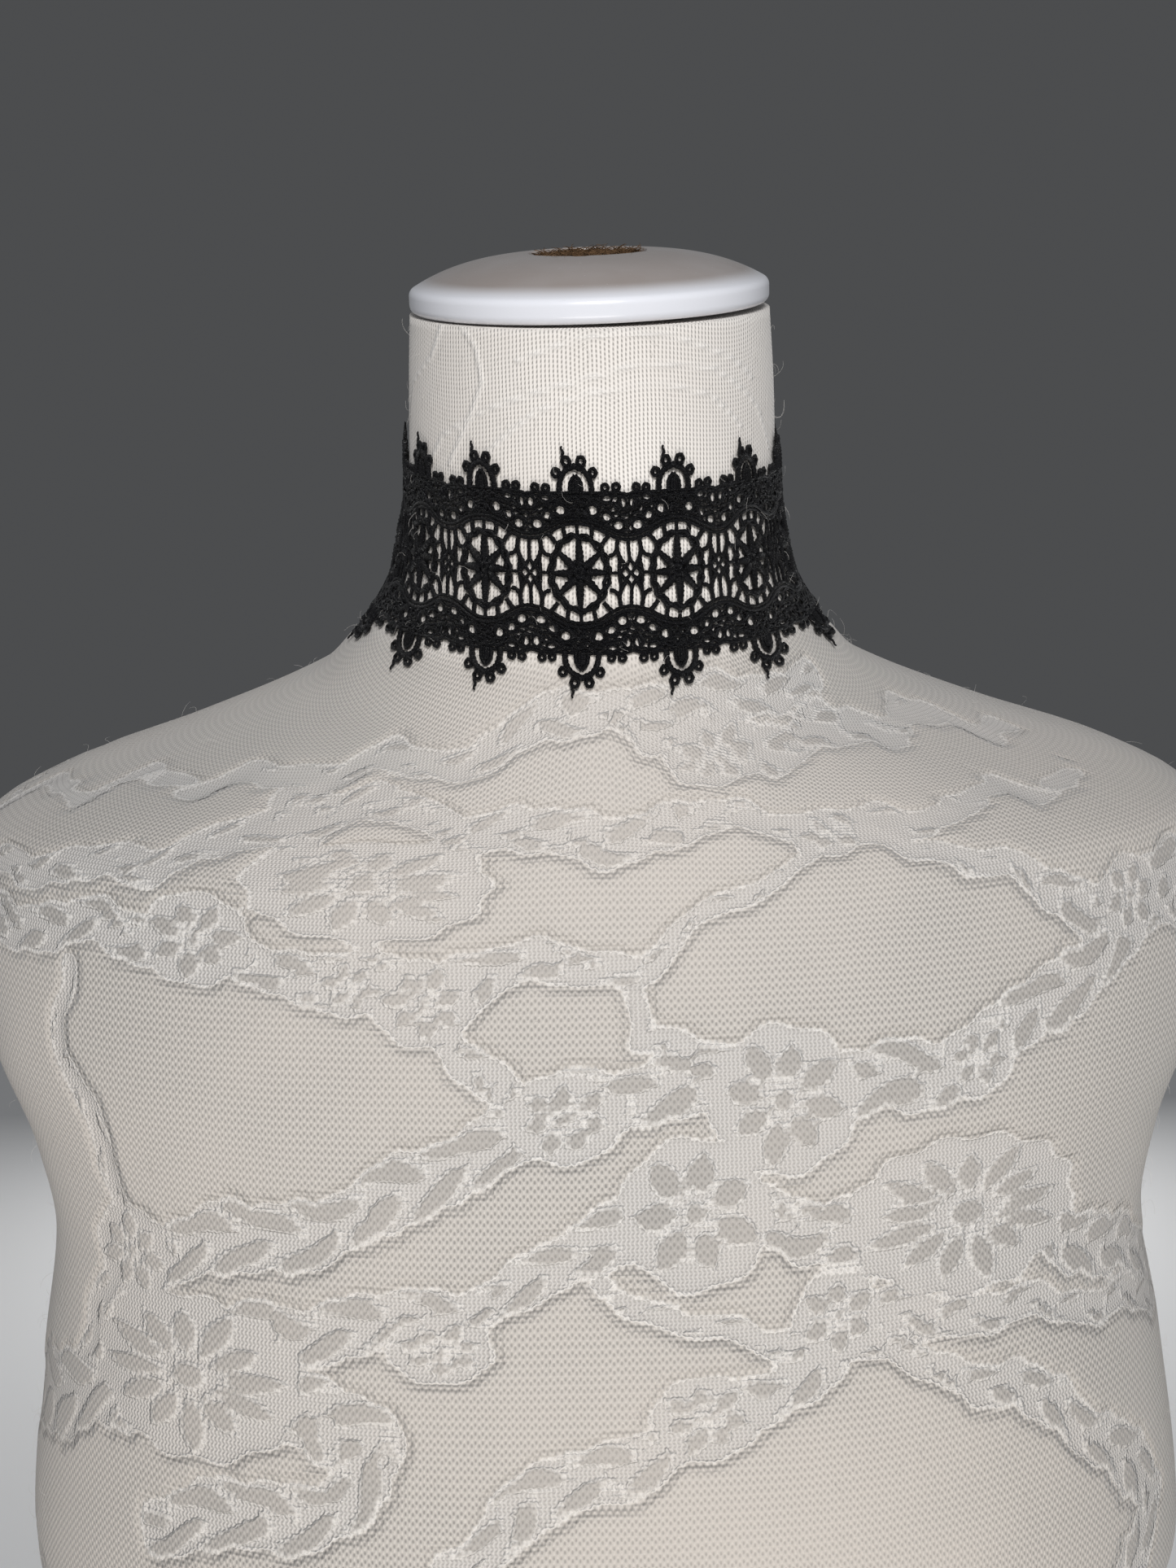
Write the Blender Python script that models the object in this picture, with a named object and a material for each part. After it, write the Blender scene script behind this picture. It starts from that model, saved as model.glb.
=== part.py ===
"""Lace choker, fastened round the neck of a limbless dress form.

Metres, +Z up, the front faces -Y, and the form stands on z = 0 over the origin.
The form is a loft of leaning rings, and the lace is a flat chart, cut out with its gaps
and wrapped round the neck of that same loft.
"""

import bisect
import math

import bpy
from mathutils import Matrix, Vector, geometry

MM = 0.001

# Clearances between pieces.
GAP = 0.3 * MM
LACE_CLEARANCE = 0.45 * MM

# The lace trim. The chart below is drawn in units of one thirtieth of a repeat.
REPEATS_LEFT = 6.5
REPEATS_RIGHT = 6.5
CHART_REPEAT = 30.0
SEAM_REPEAT = 0.5
LACE_THICKNESS = 1.5 * MM
WHEEL_HEIGHT = 622.5 * MM
FRONT_WHEEL_TURN = math.radians(-3.9)
SIDEWAYS_LEAN = -0.02
COLUMN_LEAN = -0.06
STRETCH_REACH = 0.16
REACH_UP = 34.0 * MM
REACH_DOWN = 34.0 * MM
REACH_STEP = 1.0 * MM
COLUMNS = 120

# The wheel in the chart: its dense star, its spokes and the inside of its rim.
STAR_RADIUS = 3.9
SPOKE_WIDTH = 1.3
RIM_INSIDE = (7.0, 9.9)
SPOKES = 8

# Gaps between the wheels in one quarter of a repeat, in chart units.
OVAL_GAPS = (
    # middle across, middle up, half width, half height
    dict(across=13.2, up=6.4, half_width=1.05, half_height=2.55),
    dict(across=10.6, up=3.1, half_width=1.20, half_height=2.15),
    dict(across=9.7, up=8.7, half_width=1.80, half_height=1.95),
)
GAP_CORNERS = 6

# The edge of one quarter of a repeat, from the middle of a sprig to the dip between wheels.
SPRIG_OUTLINE = ((0.0, 33.0), (1.7, 34.3), (3.9, 33.2), (3.7, 30.3), (6.4, 28.7), (5.7, 25.7), (4.7, 24.1))
PICOTS = (8.7, 11.9)
PICOT_FOOT = 1.45
PICOT_TIP = 0.9
PICOT_HEIGHT = 26.3
BAND_EDGE = 24.1
EDGE_DIP = 23.2
BORDER_ROW = 17.6
BORDER_POINTS = (0.0, 5.0, 10.0)

# Closure at the back: two end tabs, three hooks and three eyes.
CLOSURE_GAP = 4.0 * MM
TAB_WIDTH = 3.2 * MM
TAB_HEIGHT = 41.0 * MM
TAB_THICKNESS = 2.0 * MM
TAB_ROWS = 9
HOOK_HEIGHTS = (-13.0 * MM, 0.0, 13.0 * MM)
WIRE_RADIUS = 0.35 * MM
WIRE_SIDES = 6

# The neck cap and its fibre core.
CAP_RADIUS = 50.9 * MM
CAP_RIM = 6.2 * MM
CAP_HEIGHT = 15.4 * MM
CAP_DOME_POWER = 3.4
CAP_TILT = math.radians(-0.7)
CAP_HOLE_RADIUS = 16.6 * MM
CAP_HOLE_DEPTH = 5.0 * MM
CORE_SINK = 0.6 * MM
CAP_SEGMENTS = 48

FORM_SEGMENTS = 48
FORM_RING_STEP = 24.0 * MM

# Rings of the form, in millimetres and degrees. Front, back and middle are places along Y,
# the middle is where the ring is widest, and slope is how far the ring leans forward there.
# Side is how far the ring lies to the right, because the neck leans a little that way.
COLUMN_NAMES = ("height", "half_width", "front", "back", "middle", "side", "slope", "power")
FORM_RINGS = (
    # height, half width, front, back, middle, side, slope, power
    (0.0, 168.0, -108.0, 114.0, 4.0, 0.0, 0.0, 2.30),
    (70.0, 172.0, -112.0, 120.0, 6.0, 0.0, 0.0, 2.30),
    (150.0, 150.0, -100.0, 106.0, 4.0, 0.0, 0.0, 2.25),
    (225.0, 125.0, -86.0, 84.0, 0.0, 0.0, 0.0, 2.20),
    (300.0, 147.0, -106.0, 92.0, 0.0, 0.0, 2.0, 2.30),
    (345.0, 166.0, -120.0, 98.0, 0.0, 0.0, 4.0, 2.40),
    (400.0, 161.0, -113.0, 100.0, 1.0, 0.0, 5.0, 2.50),
    (435.0, 157.0, -105.0, 101.0, 3.0, 0.0, 6.0, 2.50),
    (460.0, 163.0, -99.0, 101.4, 4.5, 0.0, 7.0, 2.45),
    (490.0, 175.5, -94.0, 101.0, 6.0, 0.0, 8.0, 2.40),
    (525.0, 181.0, -86.0, 98.0, 8.0, 0.0, 10.0, 2.25),
    (546.0, 178.0, -80.5, 95.0, 9.0, 0.0, 11.0, 2.10),
    (556.5, 160.5, -77.0, 92.5, 9.0, 0.2, 11.8, 2.00),
    (567.0, 128.0, -73.0, 89.0, 9.0, 0.4, 12.6, 1.95),
    (579.0, 94.5, -68.0, 83.5, 8.5, 0.8, 13.6, 1.95),
    (586.0, 80.0, -64.8, 78.5, 7.5, 1.2, 14.2, 1.97),
    (595.5, 70.5, -61.0, 71.0, 6.0, 1.6, 14.5, 2.00),
    (602.7, 63.6, -58.4, 65.6, 4.5, 2.0, 14.2, 2.00),
    (607.5, 60.2, -57.2, 62.4, 3.6, 2.2, 13.9, 2.00),
    (614.5, 57.0, -56.0, 59.0, 2.4, 2.5, 13.0, 2.00),
    (624.0, 54.6, -55.0, 55.8, 1.0, 2.8, 12.2, 2.00),
    (635.0, 53.1, -54.5, 52.8, -0.5, 3.1, 12.0, 2.00),
    (653.0, 52.4, -54.6, 49.8, -2.0, 3.3, 12.6, 2.00),
    (667.0, 52.0, -55.2, 47.6, -3.6, 3.4, 13.3, 2.00),
    (686.0, 51.0, -56.5, 44.5, -6.0, 3.4, 14.2, 2.00),
)
UNITS = (MM, MM, MM, MM, MM, MM, math.pi / 180.0, 1.0)

BLACK_THREAD = (0.008, 0.008, 0.009)
BLACK_WIRE = (0.02, 0.02, 0.022)
IVORY_KNIT = (0.62, 0.585, 0.53)
WHITE_PLASTIC = (0.80, 0.79, 0.78)
BROWN_FIBRE = (0.30, 0.19, 0.10)


class Curve:
    """A smooth curve through a table's rows that never overshoots between two of them."""

    def __init__(self, places, values):
        self.places = places
        self.values = values
        slopes = [
            (values[i + 1] - values[i]) / (places[i + 1] - places[i])
            for i in range(len(places) - 1)
        ]
        inner = [
            2.0 * a * b / (a + b) if a * b > 0.0 else 0.0
            for a, b in zip(slopes, slopes[1:])
        ]
        self.tangents = [slopes[0]] + inner + [slopes[-1]]

    def at(self, place):
        i = bisect.bisect_right(self.places, place) - 1
        i = max(0, min(len(self.places) - 2, i))
        span = self.places[i + 1] - self.places[i]
        s = (place - self.places[i]) / span
        start = self.values[i] * (2 * s**3 - 3 * s**2 + 1)
        leave = self.tangents[i] * span * (s**3 - 2 * s**2 + s)
        end = self.values[i + 1] * (3 * s**2 - 2 * s**3)
        arrive = self.tangents[i + 1] * span * (s**3 - s**2)
        return start + leave + end + arrive


HEIGHTS = [row[0] * MM for row in FORM_RINGS]
FORM = {
    name: Curve(HEIGHTS, [row[i] * UNITS[i] for row in FORM_RINGS])
    for i, name in enumerate(COLUMN_NAMES)
}


def form_point(height, turn):
    """A point on the form's skin: turn 0 is the front, and it grows to the right."""
    middle = FORM["middle"].at(height)
    power = 2.0 / FORM["power"].at(height)
    across = math.sin(turn)
    ahead = math.cos(turn)
    reach = FORM["front"].at(height) if ahead > 0.0 else FORM["back"].at(height)
    x = FORM["half_width"].at(height) * math.copysign(abs(across) ** power, across)
    y = middle + (reach - middle) * abs(ahead) ** power
    z = height + math.tan(FORM["slope"].at(height)) * (y - middle)
    return Vector((x + FORM["side"].at(height), y, z))


def skin_normal(height, turn):
    """The outward direction of the form's skin."""
    step = 0.2 * MM
    twist = 0.002
    round_about = form_point(height, turn + twist) - form_point(height, turn - twist)
    upward = form_point(height + step, turn) - form_point(height - step, turn)
    return round_about.cross(upward).normalized()


class Neckline:
    """Wraps flat lace round the neck: its height stays true, and it stretches only at the sides."""

    def __init__(self):
        middle = LACE_CLEARANCE + LACE_THICKNESS / 2.0
        self.turns = [2.0 * math.pi * i / COLUMNS + FRONT_WHEEL_TURN for i in range(COLUMNS + 1)]
        count = round((REACH_UP + REACH_DOWN) / REACH_STEP) + 1
        self.heights = [WHEEL_HEIGHT - REACH_DOWN + i * REACH_STEP for i in range(count)]
        grid = [
            [form_point(height, turn) + skin_normal(height, turn) * middle for turn in self.turns]
            for height in self.heights
        ]
        self.lengths = [running_length(ring) for ring in grid]
        self.level = round(REACH_DOWN / REACH_STEP)
        self.girth = self.lengths[self.level][-1]
        self.rises = []
        for column in range(COLUMNS + 1):
            rise = running_length([ring[column] for ring in grid])
            self.rises.append([distance - rise[self.level] for distance in rise])
        self.offsets = [SIDEWAYS_LEAN * point.x for point in grid[self.level]]

    def turn_at(self, height, along):
        """The turn of a place on one ring, a length along the lace from the front wheel."""
        share = along / self.girth
        level = (height - self.heights[0]) / REACH_STEP
        level = max(0.0, min(len(self.heights) - 1.001, level))
        row = int(level)
        turns = []
        for lengths in self.lengths[row:row + 2]:
            stretched = along + (lengths[-1] - self.girth) * spread(share)
            turns.append(interpolate(lengths, self.turns, stretched))
        return turns[0] + (turns[1] - turns[0]) * (level - row)

    def height_at(self, turn, up):
        """The height of the ring that a column of the lace crosses at a distance up the skin."""
        column = (turn - self.turns[0]) / (2.0 * math.pi) * COLUMNS
        column = max(0.0, min(COLUMNS - 0.001, column))
        first = int(column)
        heights = [
            interpolate(self.rises[i], self.heights, up + self.offsets[i])
            for i in (first, first + 1)
        ]
        return heights[0] + (heights[1] - heights[0]) * (column - first)

    def place(self, along, up):
        """Height and turn on the form of a point of the lace, from the middle of the front wheel."""
        along = (along + COLUMN_LEAN * up) % self.girth
        height = WHEEL_HEIGHT
        for _ in range(3):
            turn = self.turn_at(height, along)
            height = self.height_at(turn, up)
        return height, turn

    def point(self, along, up, out):
        """A point of the lace, out from the form's skin."""
        height, turn = self.place(along, up)
        return form_point(height, turn) + skin_normal(height, turn) * out


def running_length(points):
    lengths = [0.0]
    for one, other in zip(points, points[1:]):
        lengths.append(lengths[-1] + (other - one).length)
    return lengths


def spread(share):
    """How much of a ring's extra length lies before a place: half over each shoulder."""
    total = 0.0
    for side in (0.25, 0.75):
        part = max(0.0, min(1.0, (share - side) / (2.0 * STRETCH_REACH) + 0.5))
        total += 0.5 * part * part * (3.0 - 2.0 * part)
    return total


def interpolate(places, values, place):
    i = max(1, min(len(places) - 1, bisect.bisect_right(places, place)))
    part = (place - places[i - 1]) / (places[i] - places[i - 1])
    return values[i - 1] + part * (values[i] - values[i - 1])


def material(name, colour, roughness, metallic=0.0):
    made = bpy.data.materials.new(name)
    made.use_nodes = True
    shader = made.node_tree.nodes["Principled BSDF"]
    shader.inputs["Base Color"].default_value = (*colour, 1.0)
    shader.inputs["Roughness"].default_value = roughness
    shader.inputs["Metallic"].default_value = metallic
    return made


def new_object(name, points, faces, look):
    mesh = bpy.data.meshes.new(name)
    mesh.from_pydata([tuple(point) for point in points], [], faces)
    mesh.materials.append(look)
    mesh.shade_smooth()
    mesh.set_sharp_from_angle(angle=math.radians(40.0))
    made = bpy.data.objects.new(name, mesh)
    bpy.context.scene.collection.objects.link(made)
    return made


def loft(rings):
    """Points and faces of a closed solid through rings that run anticlockwise from above."""
    count = len(rings[0])
    points = [point for ring in rings for point in ring]
    faces = []
    for level in range(len(rings) - 1):
        for i in range(count):
            low = level * count + i
            low_next = level * count + (i + 1) % count
            faces.append((low, low_next, low_next + count, low + count))
    faces.append(tuple(reversed(range(count))))
    faces.append(tuple(range(len(points) - count, len(points))))
    return points, faces


def form_heights():
    """Heights of the form's rings: the table's, with more between those that lie far apart."""
    heights = [HEIGHTS[0]]
    for height in HEIGHTS[1:]:
        start = heights[-1]
        parts = max(1, round((height - start) / FORM_RING_STEP))
        heights += [start + (height - start) * (i + 1) / parts for i in range(parts)]
    return heights


def make_form(look):
    turns = [2.0 * math.pi * i / FORM_SEGMENTS for i in range(FORM_SEGMENTS)]
    rings = [[form_point(height, turn) for turn in turns] for height in form_heights()]
    return new_object("form_torso", *loft(rings), look)


def turned(profile, segments):
    """A closed solid turned round Z from (radius, height) pairs that start and end on the axis."""
    rings = [
        [
            Vector((
                radius * math.cos(2.0 * math.pi * i / segments),
                radius * math.sin(2.0 * math.pi * i / segments),
                height,
            ))
            for i in range(segments)
        ]
        for radius, height in profile
    ]
    return loft(rings)


def neck_top():
    """Places the cap on the leaning top of the neck, where it sits a little askew."""
    height = HEIGHTS[-1]
    slope = FORM["slope"].at(height)
    depth = (FORM["front"].at(height) + FORM["back"].at(height)) / 2.0
    rise = math.tan(slope) * (depth - FORM["middle"].at(height))
    side = FORM["side"].at(height)
    lift = Matrix.Translation((0.0, 0.0, CAP_RADIUS * abs(math.sin(CAP_TILT))))
    askew = lift @ Matrix.Rotation(CAP_TILT, 4, "Y")
    return Matrix.Translation((side, depth, height + rise)) @ Matrix.Rotation(slope, 4, "X") @ askew


def dome_height(radius):
    """Height of the cap's dome above the top of its rim."""
    full = CAP_HEIGHT - CAP_RIM
    return full * (1.0 - (radius / CAP_RADIUS) ** CAP_DOME_POWER)


def make_cap(look):
    edge = 1.2 * MM
    profile = [
        (CAP_RADIUS - edge, GAP),
        (CAP_RADIUS, GAP + edge),
        (CAP_RADIUS, GAP + CAP_RIM - edge),
        (CAP_RADIUS - 0.6 * edge, GAP + CAP_RIM),
    ]
    for share in (0.955, 0.89, 0.79, 0.64, 0.46):
        radius = CAP_RADIUS * share
        profile.append((radius, GAP + CAP_RIM + dome_height(radius)))
    hole_edge = GAP + CAP_RIM + dome_height(CAP_HOLE_RADIUS)
    profile.append((CAP_HOLE_RADIUS + 0.5 * MM, hole_edge))
    profile.append((CAP_HOLE_RADIUS, hole_edge - 0.5 * MM))
    profile.append((CAP_HOLE_RADIUS, hole_edge - CAP_HOLE_DEPTH))
    points, faces = turned(profile, CAP_SEGMENTS)
    return new_object("neck_cap", [neck_top() @ point for point in points], faces, look)


def make_core(look):
    hole_edge = GAP + CAP_RIM + dome_height(CAP_HOLE_RADIUS)
    radius = CAP_HOLE_RADIUS - GAP
    profile = [
        (radius, hole_edge - CAP_HOLE_DEPTH + GAP),
        (radius, hole_edge - CORE_SINK - 0.6 * MM),
        (radius - 1.2 * MM, hole_edge - CORE_SINK),
    ]
    points, faces = turned(profile, CAP_SEGMENTS)
    return new_object("cap_fibre", [neck_top() @ point for point in points], faces, look)


def rim_distance(angle):
    """Distance from a wheel's middle to the inside of its rim, at an angle from the level."""
    return 1.0 / math.hypot(math.cos(angle) / RIM_INSIDE[0], math.sin(angle) / RIM_INSIDE[1])


def wheel_gap(number):
    """The gap between two of a wheel's spokes."""
    middle = (number + 0.5) * 2.0 * math.pi / SPOKES
    room = math.pi / SPOKES
    inner = room - SPOKE_WIDTH / 2.0 / STAR_RADIUS
    corners = [(STAR_RADIUS, middle + inner * 0.8), (STAR_RADIUS, middle - inner * 0.8)]
    for side in (-1.0, 0.0, 1.0):
        angle = middle + side * (room - SPOKE_WIDTH / 2.0 / rim_distance(middle) - 0.05)
        corners.append((rim_distance(angle), angle))
    return [(radius * math.cos(angle), radius * math.sin(angle)) for radius, angle in corners]


def oval(across, up, half_width, half_height):
    """An oval gap with few corners, as long as it is high."""
    corners = []
    for i in range(GAP_CORNERS):
        angle = 2.0 * math.pi * i / GAP_CORNERS + math.pi / 2.0
        corners.append((across + half_width * 1.08 * math.cos(angle), up + half_height * math.sin(angle)))
    return corners


def repeat_gaps():
    """All gaps of one repeat that is centred on its wheel, in chart units."""
    gaps = [wheel_gap(number) for number in range(SPOKES)]
    for row in OVAL_GAPS:
        for side in (-1.0, 1.0):
            for level in (-1.0, 1.0):
                gaps.append(oval(side * row["across"], level * row["up"], row["half_width"], row["half_height"]))
    return gaps


def half_edge():
    """The edge of the lace from the middle of a sprig to the dip between two wheels."""
    edge = list(SPRIG_OUTLINE)
    for number, middle in enumerate(PICOTS):
        if number == 0:
            edge.append((middle - PICOT_FOOT, BAND_EDGE))
        edge.append((middle - PICOT_TIP, PICOT_HEIGHT))
        edge.append((middle + PICOT_TIP, PICOT_HEIGHT))
        edge.append((middle + PICOT_FOOT, BAND_EDGE))
    return edge


def edge_line(start, end):
    """The whole edge from one cut between wheels to another, left to right."""
    line = []
    half = half_edge()
    first = round((start + CHART_REPEAT / 2.0) / CHART_REPEAT)
    last = round((end - CHART_REPEAT / 2.0) / CHART_REPEAT)
    line.append((start, EDGE_DIP))
    for number in range(first, last + 1):
        wheel = number * CHART_REPEAT
        line += [(wheel - across, up) for across, up in reversed(half[1:])]
        line += [(wheel + across, up) for across, up in half]
        line.append((wheel + CHART_REPEAT / 2.0, EDGE_DIP))
    line[-1] = (end, EDGE_DIP)
    return line


def flat_lace(start, end):
    """Points and triangles of a flat length of lace with its gaps left out, in chart units."""
    points = []
    loops = []

    def add_loop(loop):
        loops.append(list(range(len(points), len(points) + len(loop))))
        points.extend(Vector(corner) for corner in loop)

    top = edge_line(start, end)
    ends = (18.0, 11.0, 4.0, -4.0, -11.0, -18.0)
    outline = [(across, -up) for across, up in top]
    outline += [(end, up) for up in reversed(ends)]
    outline += list(reversed(top))
    outline += [(start, up) for up in ends]
    add_loop(outline)
    first = round((start + CHART_REPEAT / 2.0) / CHART_REPEAT)
    last = round((end - CHART_REPEAT / 2.0) / CHART_REPEAT)
    for number in range(first, last + 1):
        wheel = number * CHART_REPEAT
        for gap in repeat_gaps():
            add_loop([(wheel + across, up) for across, up in gap])
        points.append(Vector((wheel, 0.0)))
        for across in BORDER_POINTS:
            for side in (-1.0, 1.0) if across else (1.0,):
                points.append(Vector((wheel + side * across, BORDER_ROW)))
                points.append(Vector((wheel + side * across, -BORDER_ROW)))
    triangles_inside = 1
    corners, _, triangles, _, _, sources = geometry.delaunay_2d_cdt(
        points, [], loops, triangles_inside, 1e-6
    )
    outline_only = [0]
    return corners, [
        triangle for triangle, source in zip(triangles, sources) if sorted(source) == outline_only
    ]


def wrap(neck, corners, triangles, unit, look, name):
    """Wraps flat lace round the neck and gives it its thickness."""
    outer = LACE_CLEARANCE + LACE_THICKNESS
    count = len(corners)
    points = [neck.point(corner.x * unit, corner.y * unit, outer) for corner in corners]
    points += [neck.point(corner.x * unit, corner.y * unit, LACE_CLEARANCE) for corner in corners]
    faces = []
    border = {}
    for triangle in triangles:
        one, two, three = triangle
        turn = (corners[two] - corners[one]).cross(corners[three] - corners[one])
        loop = (one, two, three) if turn > 0.0 else (one, three, two)
        faces.append(loop)
        faces.append(tuple(count + corner for corner in reversed(loop)))
        for i in range(3):
            border[(loop[i], loop[(i + 1) % 3])] = True
    for here, there in border:
        if (there, here) not in border:
            faces.append((there, here, here + count, there + count))
    return new_object(name, points, faces, look)


def make_lace(neck, look):
    lace_length = neck.girth - CLOSURE_GAP - 2.0 * (TAB_WIDTH + GAP)
    unit = lace_length / (REPEATS_LEFT + REPEATS_RIGHT) / CHART_REPEAT
    half_seam = GAP / 2.0 / unit
    seam = SEAM_REPEAT * CHART_REPEAT
    pieces = (
        ("lace_left", -REPEATS_LEFT * CHART_REPEAT, seam - half_seam),
        ("lace_right", seam + half_seam, REPEATS_RIGHT * CHART_REPEAT),
    )
    for name, start, end in pieces:
        corners, triangles = flat_lace(start, end)
        wrap(neck, corners, triangles, unit, look, name)
    return lace_length


def make_tabs(neck, lace_length, look):
    """The folded tapes that bind the two cut ends of the lace."""
    inside = LACE_CLEARANCE
    outside = inside + TAB_THICKNESS
    for name, side in (("tab_left", -1.0), ("tab_right", 1.0)):
        near = side * (lace_length / 2.0 + GAP)
        far = near + side * TAB_WIDTH
        left, right = sorted((near, far))
        rings = []
        for row in range(TAB_ROWS):
            up = TAB_HEIGHT * (row / (TAB_ROWS - 1) - 0.5)
            rings.append([
                neck.point(left, up, outside),
                neck.point((left + right) / 2.0, up, outside),
                neck.point(right, up, outside),
                neck.point(right, up, inside),
                neck.point((left + right) / 2.0, up, inside),
                neck.point(left, up, inside),
            ])
        new_object(name, *loft(rings), look)


def wire(path, sides_up):
    """Points and faces of a bent wire with flat ends."""
    rings = []
    for i, point in enumerate(path):
        before = path[max(0, i - 1)]
        after = path[min(len(path) - 1, i + 1)]
        ahead = (after - before).normalized()
        across = ahead.cross(sides_up).normalized()
        over = across.cross(ahead)
        ring = []
        for side in range(WIRE_SIDES):
            angle = 2.0 * math.pi * (side + 0.5) / WIRE_SIDES
            ring.append(point + (across * math.cos(angle) + over * math.sin(angle)) * WIRE_RADIUS)
        rings.append(list(reversed(ring)))
    return loft(rings)


def make_closure(neck, look):
    """Three hooks on the left tab, each through the eye that it fastens to on the right tab."""
    middle = neck.girth / 2.0
    face = LACE_CLEARANCE + TAB_THICKNESS
    # Along, up and out from the middle of the gap on the tabs' outer face, in millimetres.
    # The lace's right end comes first on the way round, so the eyes lie on the low side.
    hook_path = ((4.6, 0.0, 0.95), (3.2, 0.0, 0.95), (1.9, 0.0, 0.75), (1.1, 0.0, -0.35),
                 (0.3, 0.0, -0.6), (-0.5, 0.0, -0.2), (-0.75, 0.0, 0.7), (-0.35, 0.0, 1.6),
                 (0.6, 0.0, 2.0), (1.9, 0.0, 1.9))
    loop_radius = 1.05
    eye_path = [(-4.4, -loop_radius, 0.8), (-1.6, -loop_radius, 0.8)]
    for i in range(5):
        angle = math.radians(-72.0 + 36.0 * i)
        eye_path.append((0.05 + loop_radius * math.cos(angle), loop_radius * math.sin(angle), 0.75))
    eye_path += [(-1.6, loop_radius, 0.8), (-4.4, loop_radius, 0.8)]
    for number, level in enumerate(HOOK_HEIGHTS, 1):
        height, turn = neck.place(middle, level)
        out = skin_normal(height, turn)
        ahead = (form_point(height, turn + 0.01) - form_point(height, turn - 0.01)).normalized()
        up = out.cross(ahead)
        start = form_point(height, turn) + out * face
        for name, path, guide in (("hook", hook_path, up), ("eye", eye_path, out)):
            places = [start + (ahead * a + up * b + out * c) * MM for a, b, c in path]
            new_object(f"{name}_{number}", *wire(places, guide), look)


def main():
    for old in list(bpy.data.objects):
        bpy.data.objects.remove(old, do_unlink=True)
    thread = material("black_thread", BLACK_THREAD, 0.65)
    tape = material("black_tape", BLACK_THREAD, 0.8)
    black_wire = material("black_wire", BLACK_WIRE, 0.35, 0.8)
    knit = material("ivory_knit", IVORY_KNIT, 0.85)
    plastic = material("white_plastic", WHITE_PLASTIC, 0.25)
    fibre = material("brown_fibre", BROWN_FIBRE, 0.9)
    make_form(knit)
    make_cap(plastic)
    make_core(fibre)
    neck = Neckline()
    lace_length = make_lace(neck, thread)
    make_tabs(neck, lace_length, tape)
    make_closure(neck, black_wire)


main()
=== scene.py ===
"""Looks of the lace choker on its limbless dress form.

Metres, +Z up, the front faces -Y. The shape of the form and the way the lace wraps the neck
repeat the part's source, and every shape below is worked out as whole arrays.
"""

import math

import bpy
import numpy as np
from bpy.props import FloatProperty, FloatVectorProperty, IntProperty, PointerProperty
from mathutils import Matrix


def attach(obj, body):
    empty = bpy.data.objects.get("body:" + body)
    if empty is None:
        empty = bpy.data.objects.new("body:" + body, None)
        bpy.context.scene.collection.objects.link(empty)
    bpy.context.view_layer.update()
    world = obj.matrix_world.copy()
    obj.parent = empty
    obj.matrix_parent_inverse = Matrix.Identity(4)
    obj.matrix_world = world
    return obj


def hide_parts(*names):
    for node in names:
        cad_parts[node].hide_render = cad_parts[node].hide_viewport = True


bl_info = {
    "name": "Lace Choker on a Dress Form",
    "version": (1, 0, 0),
    "blender": (4, 5, 0),
    "location": "3D Viewport > Sidebar > Lace Choker",
    "description": "Makes the lace, its closure, the knitted cover, the neck cap and the studio",
    "category": "Add Mesh",
}

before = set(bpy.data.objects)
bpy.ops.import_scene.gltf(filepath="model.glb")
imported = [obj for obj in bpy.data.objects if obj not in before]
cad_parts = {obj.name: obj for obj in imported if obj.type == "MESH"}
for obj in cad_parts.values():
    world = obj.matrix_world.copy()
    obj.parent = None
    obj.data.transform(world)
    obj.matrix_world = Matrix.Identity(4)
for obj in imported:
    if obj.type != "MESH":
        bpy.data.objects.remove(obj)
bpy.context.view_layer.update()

MM = 0.001
GAP = 0.3 * MM
LACE_CLEARANCE = 0.45 * MM
LACE_THICKNESS = 1.5 * MM
LACE_MIDDLE = LACE_CLEARANCE + LACE_THICKNESS / 2.0

REPEATS_LEFT = 6.5
REPEATS_RIGHT = 6.5
CHART_REPEAT = 30.0
SEAM_REPEAT = 0.5
WHEEL_HEIGHT = 622.5 * MM
FRONT_WHEEL_TURN = math.radians(-3.9)
SIDEWAYS_LEAN = -0.02
COLUMN_LEAN = -0.06
STRETCH_REACH = 0.16
REACH_UP = 34.0 * MM
REACH_DOWN = 34.0 * MM
REACH_STEP = 1.0 * MM
COLUMNS = 120

CLOSURE_GAP = 4.0 * MM
TAB_WIDTH = 3.2 * MM
TAB_HEIGHT = 41.0 * MM
TAB_THICKNESS = 2.0 * MM
HOOK_HEIGHTS = (-13.0 * MM, 0.0, 13.0 * MM)

CAP_RADIUS = 50.9 * MM
CAP_RIM = 6.2 * MM
CAP_HEIGHT = 15.4 * MM
CAP_DOME_POWER = 3.4
CAP_TILT = math.radians(-0.7)
CAP_HOLE_RADIUS = 16.6 * MM
CAP_HOLE_DEPTH = 5.0 * MM
CORE_SINK = 0.6 * MM

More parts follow.
